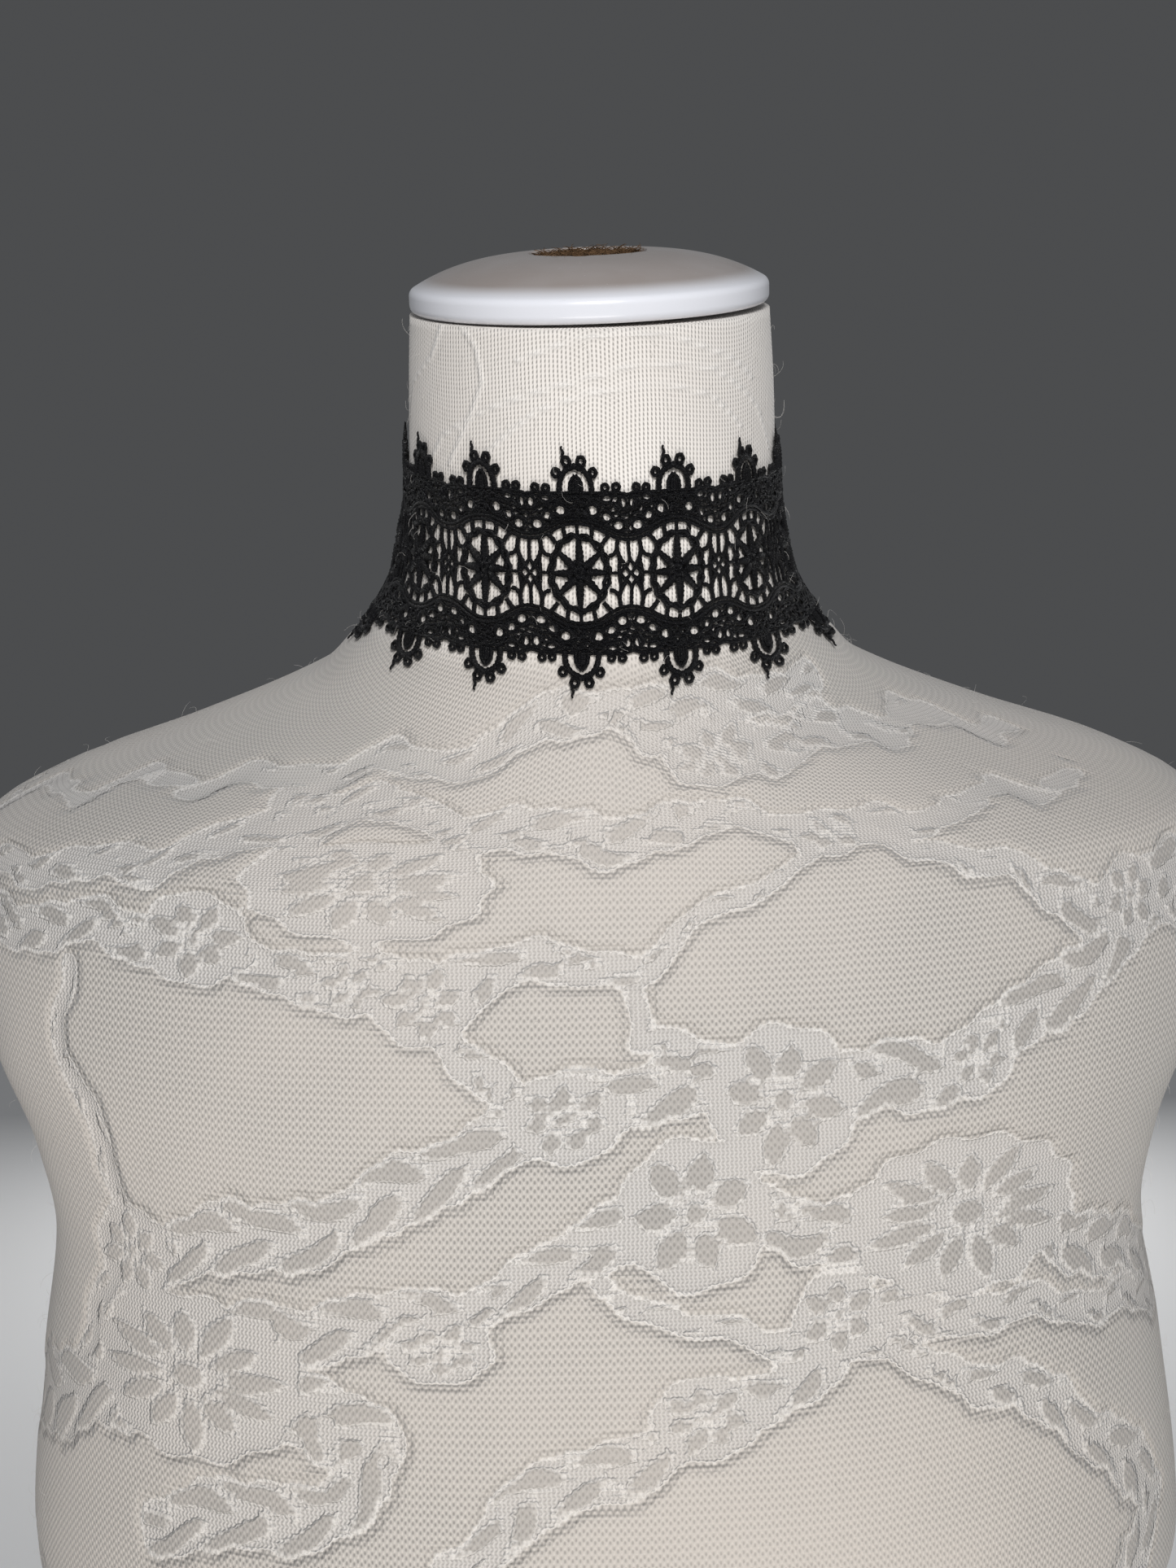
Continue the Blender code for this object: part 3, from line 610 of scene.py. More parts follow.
class LaceMaker:
    """Lays the chart's cords on the neck, for one length of the lace."""

    def __init__(self, neck, unit, radius_scale, first, last, seed):
        self.neck = neck
        self.unit = unit
        self.scale = radius_scale
        self.wheels = np.arange(first, last + 1) * CHART_REPEAT
        self.mesh = Mesh()
        self.random = np.random.default_rng(seed)

    def lay(self, across, up, radius, level, sides=6, closed=False, step=CORD_STEP):
        """Lays cords given as (cords, steps) arrays of places in chart units."""
        across, up = wander(across, up)
        tubes, steps = across.shape
        radius = np.broadcast_to(radius, (tubes, steps)) * self.scale
        beads = 1.0 + BEAD_SHARE * np.where(np.arange(steps) % 2 == 0, 1.0, -1.0)
        width = radius * beads * self.unit
        out = LACE_MIDDLE - 0.06 * MM + np.broadcast_to(level, (tubes, steps)) * LEVEL_HEIGHT
        paths, normals = self.neck.points(across * self.unit, up * self.unit, out)
        shade = self.random.uniform(0.0, 1.0, tubes)
        length = step * self.unit / MM
        sweep(self.mesh, paths, normals, width, width * CORD_FLATNESS, sides, closed, length, shade)

    def copies(self, line, four=True, mirrored=True):
        """Places of a cord's copies on every wheel, in its quarters or above and below."""
        across_signs = (1.0, -1.0) if mirrored else (1.0,)
        up_signs = (1.0, -1.0) if four else (1.0,)
        parts = [
            (wheel + a * line[:, 0], b * line[:, 1])
            for wheel in self.wheels for a in across_signs for b in up_signs
        ]
        return np.array([part[0] for part in parts]), np.array([part[1] for part in parts])

    def wheels_and_spokes(self):
        """Rims and stars whose two threads twist round each other, and spokes that swell midway."""
        for number, (_, half_width, half_height, radius) in enumerate(WHEEL_LOOPS):
            line = ellipse(0.0, 0.0, half_width, half_height, CORD_STEP)
            angle = np.arctan2(line[:, 1], line[:, 0])
            count = max(1, round(half_height * 1.35))
            twist = angle * count + math.pi * number
            line = line * (1.0 + 0.42 * np.sin(twist) / (half_height + 2.0))[:, None]
            across, up = self.copies(line, False, False)
            level = 0.45 * np.cos(twist)[None, :] + 0.15
            self.lay(across, up, radius, level, closed=True)
        for spoke in range(SPOKES):
            angle = 2.0 * math.pi * spoke / SPOKES
            right = math.cos(angle)
            over = math.sin(angle)
            reach = 1.0 / math.hypot(right / RIM_INSIDE[0], over / RIM_INSIDE[1])
            places = np.linspace(HUB_RADIUS, reach, 2 + int((reach - HUB_RADIUS) / CORD_STEP))
            line = np.stack((places * right, places * over), axis=1)
            share = (places - HUB_RADIUS) / (reach - HUB_RADIUS)
            radius = SPOKE_RADIUS + SPOKE_SWELL * np.sin(math.pi * share**0.55)
            across, up = self.copies(line, False, False)
            self.lay(across, up, radius[None, :], 0.1 + 0.3 * (1.0 - share)[None, :])

    def openwork(self):
        """The cords, rings and loose thread ends of every repeat."""
        for _, radius, level, corners in QUARTER_CORDS:
            across, up = self.copies(smooth_line(corners, CORD_STEP))
            self.lay(across, up, radius * NET_SCALE, level)
        for _, radius, level, corners in MIDDLE_CORDS:
            across, up = self.copies(smooth_line(corners, CORD_STEP), True, False)
            self.lay(across, up, radius * NET_SCALE, level)
        across, up = self.copies(smooth_line(SIDE_BAR, CORD_STEP), False, True)
        self.lay(across, up, 0.55, 0.0)
        for _, middle, height, half_width, half_height, radius in QUARTER_LOOPS:
            across, up = self.copies(ellipse(middle, height, half_width, half_height, LOOP_STEP))
            self.lay(across, up, radius, 0.1, closed=True)
        for middle, height, half_width, half_height in BORDER_EYELETS[:4]:
            ring = ellipse(middle, height, half_width + 0.35, half_height + 0.35, CORD_STEP)
            across, up = self.copies(ring)
            self.lay(across, up, 0.42, 0.35, closed=True)
        line = smooth_line(THREAD_END, END_STEP)
        across, up = self.copies(line, True, False)
        taper = np.linspace(0.66, 0.30, len(line))[None, :]
        self.lay(across, up, taper, 0.2, step=END_STEP)

    def dip_stems(self, last):
        """Stems between two wheels, one fewer than the wheels at the strip's end."""
        wheels = self.wheels
        self.wheels = wheels[:-1] if last else wheels
        across, up = self.copies(smooth_line(DIP_STEM, CORD_STEP), True, False)
        self.lay(across, up, 0.6, 0.1)
        self.wheels = wheels

    def borders(self, start, end):
        """Waves, edges and the dense threads between them, along the whole length."""
        across = np.linspace(start, end, int((end - start) / FLOW_STEP))
        local = from_wheel(across)
        inner = np.interp(local, WAVE_ACROSS, WAVE_INNER)
        outer = np.interp(local, WAVE_ACROSS, WAVE_OUTER)
        soft = np.cos(math.pi * local / 15.0)
        inner = 0.5 * inner + 0.5 * (12.3 + 2.4 * soft)
        outer = 0.5 * outer + 0.5 * (13.6 + 2.3 * soft)
        edge = np.interp(local, EDGE_ACROSS, EDGE_UP)
        for side in (1.0, -1.0):
            for line, radius, level in (
                (inner, 0.58, 0.2 * np.sin(across)[None]),
                (outer, 0.62, 0.2),
                (edge, 0.55, 0.1 * np.cos(1.7 * across)[None]),
            ):
                self.lay(across[None], side * line[None], radius, level, step=FLOW_STEP)
            for number in range(1, FLOW_LINES):
                share = number / FLOW_LINES
                middle_line = outer + (edge - outer) * share
                line = middle_line + 0.34 * np.sin(2.1 * across + 1.9 * number + side)
                line = line + 0.16 * np.sin(3.7 * across + 2.3 * number)
                line = part_round_eyelets(across, side * line, middle_line)
                level = 0.35 * np.sin(1.3 * across + 2.4 * number)
                self.lay(across[None], line[None], 0.52, level[None], sides=5, step=FLOW_STEP)
            for number in range(2):
                self.curls(start, end, side, number)

    def curls(self, start, end, side, number):
        """A curling stitch thread over the border: a point that runs on while it circles."""
        pitch = 2.7 + 0.4 * number
        turns = (end - start) / pitch
        run = 2.0 * math.pi * 0.95 + pitch * 0.3
        count = int(turns * run / CURL_STEP)
        place = np.linspace(0.0, turns, count)
        angle = 2.0 * math.pi * place + 2.0 * number
        across = start + place * pitch + 1.05 * np.sin(angle)
        across = np.clip(across, start, end)
        local = from_wheel(across)
        low = np.interp(local, WAVE_ACROSS, WAVE_OUTER)
        high = np.interp(local, EDGE_ACROSS, EDGE_UP)
        middle_line = low + (high - low) * (0.30 + 0.42 * number)
        line = part_round_eyelets(across, side * (middle_line + 1.0 * np.cos(angle)), middle_line)
        self.lay(across[None], line[None], 0.36, 0.75, sides=4, step=CURL_STEP)


def ellipse(across, up, half_width, half_height, step):
    """A closed oval with an even count of points at even steps."""
    angle = 2.0 * math.pi * np.arange(12) / 12
    corners = np.stack((across + half_width * np.cos(angle), up + half_height * np.sin(angle)), axis=1)
    return smooth_line(corners, step, True)


def neck_top():
    """Places the cap on the leaning top of the neck, where it sits a little askew."""
    height = RINGS[-1, 0]
    slope = RINGS[-1, SLOPE]
    depth = (RINGS[-1, FRONT] + RINGS[-1, BACK]) / 2.0
    rise = math.tan(slope) * (depth - RINGS[-1, MIDDLE])
    lift = Matrix.Translation((0.0, 0.0, CAP_RADIUS * abs(math.sin(CAP_TILT))))
    askew = lift @ Matrix.Rotation(CAP_TILT, 4, "Y")
    middle = Matrix.Translation((RINGS[-1, SIDE], depth, height + rise))
    return middle @ Matrix.Rotation(slope, 4, "X") @ askew


def carried(matrix, points):
    """Points carried by a 4 by 4 matrix."""
    matrix = np.array(matrix)
    return points @ matrix[:3, :3].T + matrix[:3, 3]


def dome_height(radius):
    """Height of the cap's dome over its rim: it falls as a power of the radius."""
    return (CAP_HEIGHT - CAP_RIM) * (1.0 - (radius / CAP_RADIUS) ** CAP_DOME_POWER)


def turned(profile, segments):
    """A closed surface turned round Z from (radius, height) pairs that start and end on the axis."""
    profile = np.asarray(profile)
    angle = 2.0 * math.pi * np.arange(segments) / segments
    rings = profile[1:-1]
    x = rings[:, :1] * np.cos(angle)
    y = rings[:, :1] * np.sin(angle)
    z = np.broadcast_to(rings[:, 1:2], x.shape)
    points = np.stack((x, y, z), axis=-1).reshape(-1, 3)
    poles = np.array(((0.0, 0.0, profile[0, 1]), (0.0, 0.0, profile[-1, 1])))
    quads = grid_faces(len(rings), segments, True)
    first = np.arange(segments)
    following = (first + 1) % segments
    last = (len(rings) - 1) * segments
    low_pole = np.full(segments, len(points))
    high_pole = low_pole + 1
    fans = np.concatenate((
        np.stack((low_pole, following, first), axis=1),
        np.stack((high_pole, last + first, last + following), axis=1),
    ))
    return np.vstack((points, poles)), [quads, fans]


def segment_distances(across, up, start, end):
    """Distance of points from a stretch, the share along it, and the signed side offset."""
    ahead = np.array(end[:2], dtype=float) - np.array(start[:2], dtype=float)
    length = np.hypot(*ahead)
    ahead = ahead / length
    right = across - start[0]
    over = up - start[1]
    run = np.clip(right * ahead[0] + over * ahead[1], 0.0, length)
    offset = over * ahead[0] - right * ahead[1]
    distance = np.hypot(right - run * ahead[0], over - run * ahead[1])
    return distance, run, offset, length


def leaf_bands(across, up, stretch):
    """How deep points lie in the leafy bands and in the leaves on them, in millimetres.

    A band is as wide as its run's half widths, with a scalloped edge. Its leaves stand in two rows
    and slant forward: a leaf's depth is its half width times a sine of the share across the band,
    less the distance from its own slanted middle line.
    """
    band = np.full(across.shape, -FAR_AWAY)
    leaf = np.full(across.shape, -FAR_AWAY)
    for number, run in enumerate(LEAF_BANDS):
        travelled = 3.0 * number
        for start, end in zip(run, run[1:]):
            distance, along, offset, length = segment_distances(across, up, start, end)
            distance = distance * stretch
            offset = offset * stretch
            width = start[2] + (end[2] - start[2]) * along / length
            place = travelled + along
            scallop = 0.15 * width * np.abs(np.sin(place * math.pi / (0.5 * LEAF_PITCH)))
            depth = width * 0.74 + scallop - distance
            slanted = place - LEAF_SLANT * np.abs(offset)
            slanted = slanted + np.where(offset > 0.0, 0.5 * LEAF_PITCH, 0.0)
            away = np.abs(slanted % LEAF_PITCH - 0.5 * LEAF_PITCH) / math.hypot(1.0, LEAF_SLANT)
            share = np.clip(np.abs(offset) / width, 0.0, 1.0)
            full = LEAF_HALF_WIDTH * np.clip(width / 7.0, 0.35, 1.25)
            inside = full * np.sin(math.pi * share) ** 0.7 - away - 1.5 * (stretch - 1.0)
            inside = np.minimum(inside, depth - 0.3)
            leaf = np.where(depth > band, inside, leaf)
            band = np.maximum(band, depth)
            travelled += length
    return band, leaf


def flower_values(across, up, stretch):
    """How deep points lie in a flower's ground and in its petals and middle, in millimetres.

    In polar terms round a flower each petal is a lens: its half width is a share of its pitch times
    a sine of the share along it, less the distance from its middle line. Petals differ a little.
    """
    ground = np.full(across.shape, -FAR_AWAY)
    petal = np.full(across.shape, -FAR_AWAY)
    for number, (middle, height, reach, rise, petals) in enumerate(FLOWERS):
        right = (across - middle) / reach
        over = (up - height) * stretch / rise
        radius = np.hypot(right, over)
        turn = (np.arctan2(over, right) + 0.35 * number) * petals / (2.0 * math.pi)
        which = np.floor(turn)
        reach_share = 0.92 + 0.10 * np.sin(2.4 * which + number)
        size = math.sqrt(reach * rise)
        sideways = np.abs(turn - which - 0.5) * 2.0 * math.pi / petals * radius * size
        along = np.clip((radius - PETAL_START) / (reach_share - PETAL_START), 0.0, 1.0)
        full = 0.40 * (2.0 * math.pi / petals) * 0.62 * size
        inside = full * np.sin(math.pi * along**1.15) ** 0.75 - sideways
        ends = np.minimum(radius - PETAL_START, reach_share - radius) * size
        petal = np.maximum(petal, np.minimum(inside, ends + 0.4))
        petal = np.maximum(petal, (FLOWER_HEART - radius) * size)
        scalloped = 1.10 + 0.05 * np.cos(2.0 * math.pi * turn)
        ground = np.maximum(ground, (scalloped - radius) * size)
    return ground, petal


def cover_values(across, up, stretch):
    """The cover's pattern at points given as millimetres across and up from the front's middle.

    Heights are lengths along the front's middle line, and stretch is how much longer the skin is.
    The bands wander by sums of sines; the flowers don't.
    """
    right = across + 1.6 * np.sin(0.19 * up + 1.1) + 0.7 * np.sin(0.33 * up + 0.09 * across)
    over = up + 1.6 * np.sin(0.15 * across + 0.4) + 0.8 * np.sin(0.31 * across - 0.11 * up)
    band, leaf = leaf_bands(right, over, stretch)
    ground, petal = flower_values(across, up, stretch)
    leaf = np.minimum(leaf, -ground)
    band = np.maximum(band, ground)
    return band, leaf, petal


def folded_pattern(across, up, stretch):
    """The pattern carried round the back and down: it turns back at the sides and at the waist."""
    far = np.abs(across) > PATTERN_EDGE
    mirrored = PATTERN_EDGE - np.abs(PATTERN_EDGE - np.abs(across))
    one = np.sign(across) * mirrored
    span = PATTERN_TOP - PATTERN_BOTTOM
    level = (up - PATTERN_BOTTOM) % (2.0 * span)
    level = PATTERN_BOTTOM + np.where(level > span, 2.0 * span - level, level)
    level = np.where(up > PATTERN_TOP, up, level)
    own = cover_values(one, level, stretch)
    other = cover_values(-one, level, stretch)
    return own, other, far


def cover_heights():
    """Heights of the cover's rows: even steps up the front, close above the waist."""
    fine = np.linspace(0.0, RINGS[-1, 0], 4001)
    front = form_points(fine, 0.0)
    lengths = running_lengths(front, 0)
    waist = np.interp(COVER_WAIST, fine, lengths)
    below = np.linspace(0.0, waist, COVER_ROWS_BELOW)
    above = np.linspace(waist, lengths[-1], int((lengths[-1] - waist) / COVER_ROW_STEP))
    return np.interp(np.concatenate((below, above[1:])), lengths, fine)


def cover_turns():
    """Turns of the cover's columns: close over the front and wider apart over the back."""
    edge = COVER_FRONT_HALF
    front = np.linspace(-edge, edge, COVER_FRONT_COLUMNS, endpoint=False)
    back = np.linspace(edge, 2.0 * math.pi - edge, COVER_BACK_COLUMNS, endpoint=False)
    return np.concatenate((front, back))


class Nodes:
    """Short words for wiring a material's nodes."""

    def __init__(self, tree):
        self.tree = tree

    def add(self, kind, **settings):
        node = self.tree.nodes.new(kind)
        for name, value in settings.items():
            setattr(node, name, value)
        return node

    def feed(self, socket, value):
        """Links an input to a socket, or sets it to a value."""
        if isinstance(value, bpy.types.NodeSocket):
            self.tree.links.new(value, socket)
        else:
            socket.default_value = value

    def math(self, operation, *values, clamp=False):
        """One step of arithmetic on sockets or numbers."""
        node = self.add("ShaderNodeMath", operation=operation, use_clamp=clamp)
        for socket, value in zip(node.inputs, values):
            self.feed(socket, value)
        return node.outputs[0]

    def times(self, one, other, clamp=False):
        return self.math("MULTIPLY", one, other, clamp=clamp)

    def plus(self, one, other):
        return self.math("ADD", one, other)

    def larger(self, one, other):
        return self.math("MAXIMUM", one, other)

    def scaled(self, value, factor, offset):
        """The value times the factor, plus the offset."""
        return self.math("MULTIPLY_ADD", value, factor, offset)

    def wave(self, value, length):
        """Cosine that repeats once every length, from -1 to 1."""
        return self.math("COSINE", self.scaled(value, 2.0 * math.pi / length, 0.0))

    def ramp(self, value, low, high, start=0.0, end=1.0):
        """Smooth step from start to end as the value goes from low to high."""
        node = self.add("ShaderNodeMapRange", interpolation_type="SMOOTHSTEP")
        self.feed(node.inputs["Value"], value)
        node.inputs["From Min"].default_value = low
        node.inputs["From Max"].default_value = high
        node.inputs["To Min"].default_value = start
        node.inputs["To Max"].default_value = end
        return node.outputs["Result"]

    def mix(self, factor, one, other):
        """A number between two others."""
        node = self.add("ShaderNodeMix", data_type="FLOAT")
        self.feed(node.inputs[0], factor)
        self.feed(node.inputs[2], one)
        self.feed(node.inputs[3], other)
        return node.outputs[0]

    def blend(self, factor, one, other):
        """A colour between two others."""
        node = self.add("ShaderNodeMix", data_type="RGBA")
        self.feed(node.inputs[0], factor)
        self.feed(node.inputs[6], colour(one))
        self.feed(node.inputs[7], colour(other))
        return node.outputs[2]

    def noise(self, vector, scale, detail=2.0, roughness=0.5):
        """Noise from 0 to 1, with so many features in a metre."""
        node = self.add("ShaderNodeTexNoise")
        self.feed(node.inputs["Vector"], vector)
        node.inputs["Scale"].default_value = scale
        node.inputs["Detail"].default_value = detail
        node.inputs["Roughness"].default_value = roughness
        return node.outputs["Fac"]

    def attribute(self, name):
        """A value that the mesh carries at its points."""
        return self.add("ShaderNodeAttribute", attribute_name=name).outputs["Fac"]

    def place(self):
        return self.add("ShaderNodeTexCoord").outputs["Object"]


def colour(value):
    """A colour as a shader takes it, or the socket that it comes from."""
    if isinstance(value, bpy.types.NodeSocket):
        return value
    return (*tuple(value)[:3], 1.0)


def new_look(name, **inputs):
    """A material with its wiring helper and its shader, whose plain inputs are set here."""
    look = bpy.data.materials.new(name)
    look.use_nodes = True
    nodes = Nodes(look.node_tree)
    shader = look.node_tree.nodes["Principled BSDF"]
    for key, value in inputs.items():
        nodes.feed(shader.inputs[key.replace("_", " ")], value)
    return look, nodes, shader


def tinted(base, *shares):
    """A colour times one share, or each of its channels times its own, and at most 1."""
    shares = shares * 3 if len(shares) == 1 else shares
    return tuple(min(1.0, channel * share) for channel, share in zip(base, shares))


def finish(nodes, shader, tone, roughness):
    """Feeds a material's colour and roughness."""
    nodes.feed(shader.inputs["Base Color"], tone)
    nodes.feed(shader.inputs["Roughness"], roughness)


def bump(nodes, shader, height, depth):
    """Feeds a height, in units of depth metres, to the shader's normal."""
    node = nodes.add("ShaderNodeBump")
    node.inputs["Strength"].default_value = 1.0
    node.inputs["Distance"].default_value = depth
    nodes.feed(node.inputs["Height"], height)
    nodes.feed(shader.inputs["Normal"], node.outputs["Normal"])


def fibre_group():
    """Group: fine fibres as a height and a mask, used by every textile and the torn core."""
    name = "Fine Fibres"
    if name in bpy.data.node_groups:
        return bpy.data.node_groups[name]
    group = bpy.data.node_groups.new(name, "ShaderNodeTree")
    group.interface.new_socket("Place", in_out="INPUT", socket_type="NodeSocketVector")
    group.interface.new_socket("Scale", in_out="INPUT", socket_type="NodeSocketFloat")
    group.interface.new_socket("Height", in_out="OUTPUT", socket_type="NodeSocketFloat")
    group.interface.new_socket("Mask", in_out="OUTPUT", socket_type="NodeSocketFloat")
    nodes = Nodes(group)
    start = nodes.add("NodeGroupInput")
    end = nodes.add("NodeGroupOutput")
    texture = nodes.add("ShaderNodeTexNoise")
    group.links.new(start.outputs["Place"], texture.inputs["Vector"])
    group.links.new(start.outputs["Scale"], texture.inputs["Scale"])
    texture.inputs["Detail"].default_value = 3.0
    texture.inputs["Distortion"].default_value = 0.8
    group.links.new(texture.outputs["Fac"], end.inputs["Height"])
    group.links.new(nodes.ramp(texture.outputs["Fac"], 0.45, 0.68), end.inputs["Mask"])
    return group


def fibres(nodes, place, scale):
    """Height and mask of fine fibres at a scale, from the shared group."""
    node = nodes.add("ShaderNodeGroup", node_tree=fibre_group())
    nodes.feed(node.inputs["Place"], place)
    node.inputs["Scale"].default_value = scale
    return node.outputs["Height"], node.outputs["Mask"]


def thread_look(settings):
    """Black thread: stitches wrapped slantwise round each cord, with fine glints."""
    look, nodes, shader = new_look("black_lace_thread", Specular_IOR_Level=0.4)
    along = nodes.attribute("along")
    across = nodes.attribute("across")
    shade = nodes.attribute("shade")
    slanted = nodes.scaled(across, 0.22, along)
    stitch = nodes.wave(slanted, settings.stitch_pitch / MM)
    height, mask = fibres(nodes, nodes.place(), 2600.0)
    relief = nodes.scaled(height, 1.1, nodes.times(stitch, 0.9))
    tone = nodes.scaled(shade, 0.35, nodes.times(mask, 0.65))
    black = settings.thread_colour
    glint = [channel * 3.0 + 0.002 for channel in black]
    finish(nodes, shader, nodes.blend(tone, black, glint), nodes.mix(mask, 0.42, 0.24))
    bump(nodes, shader, relief, 0.22 * MM)
    return look


def tape_look(settings):
    """Black woven tape: fine cross ribs and fibres."""
    look, nodes, shader = new_look("black_end_tape", Specular_IOR_Level=0.35, Sheen_Weight=0.08)
    rib = nodes.wave(nodes.attribute("along"), 0.55)
    height, mask = fibres(nodes, nodes.place(), 2200.0)
    black = settings.tape_colour
    finish(nodes, shader, nodes.blend(mask, black, tinted(black, 2.2)), nodes.mix(mask, 0.8, 0.62))
    bump(nodes, shader, nodes.scaled(rib, 0.5, height), 0.12 * MM)
    return look


def wire_look(settings):
    """Black painted wire, worn a little brighter in places."""
    look, nodes, shader = new_look("black_hook_wire", Metallic=0.7)
    worn = nodes.ramp(nodes.noise(nodes.place(), 900.0, 3.0), 0.56, 0.72)
    bare_wire = (0.12, 0.12, 0.125)
    tone = nodes.blend(worn, settings.wire_colour, bare_wire)
    finish(nodes, shader, tone, nodes.mix(worn, 0.32, 0.5))
    bump(nodes, shader, nodes.noise(nodes.place(), 2400.0), 0.03 * MM)
    return look


def plastic_look(settings):
    """Glossy white moulded plastic with faint flow marks and small scuffs."""
    look, nodes, shader = new_look("white_cap_plastic", Coat_Weight=0.12, Coat_Roughness=0.15)
    place = nodes.place()
    cloud = nodes.noise(place, 38.0, 3.0)
    scuff = nodes.ramp(nodes.noise(place, 420.0, 4.0, 0.62), 0.66, 0.78)
    chip = nodes.ramp(nodes.noise(place, 120.0, 4.0, 0.7), 0.70, 0.74)
    worn = nodes.larger(scuff, chip)
    # Painted shade: the dome inside its rim is coloured grey-brown, standing in for its shaded upward
    # face.
    on_dome = nodes.ramp(nodes.attribute("radial"), 0.86, 0.995, 1.0, 0.0)
    painted_dome_shade = nodes.scaled(nodes.times(on_dome, cloud), 0.3, nodes.times(on_dome, 0.85))
    white = settings.plastic_colour
    base = nodes.blend(cloud, white, tinted(white, 0.96))
    base = nodes.blend(painted_dome_shade, base, tinted(white, 0.40, 0.345, 0.30))
    base = nodes.blend(nodes.times(worn, 0.22), base, tinted(white, 0.55))
    finish(nodes, shader, base, nodes.mix(worn, nodes.mix(cloud, 0.16, 0.28), 0.55))
    dents = nodes.times(nodes.noise(place, 160.0, 2.0), 0.35)
    relief = nodes.scaled(worn, -0.6, dents)
    bump(nodes, shader, relief, 0.03 * MM)
    return look


def fibre_look(settings):
    """Torn brown fibreboard: matted fibres in lighter and darker browns."""
    look, nodes, shader = new_look("torn_brown_fibre", Specular_IOR_Level=0.2)
    place = nodes.place()
    height, mask = fibres(nodes, place, 900.0)
    patch = nodes.noise(place, 140.0, 4.0, 0.6)
    brown = settings.fibre_colour
    base = nodes.blend(nodes.ramp(patch, 0.35, 0.65), tinted(brown, 0.35), brown)
    finish(nodes, shader, nodes.blend(mask, base, tinted(brown, 1.4)), nodes.mix(patch, 0.95, 0.8))
    bump(nodes, shader, nodes.plus(height, patch), 0.7 * MM)
    return look


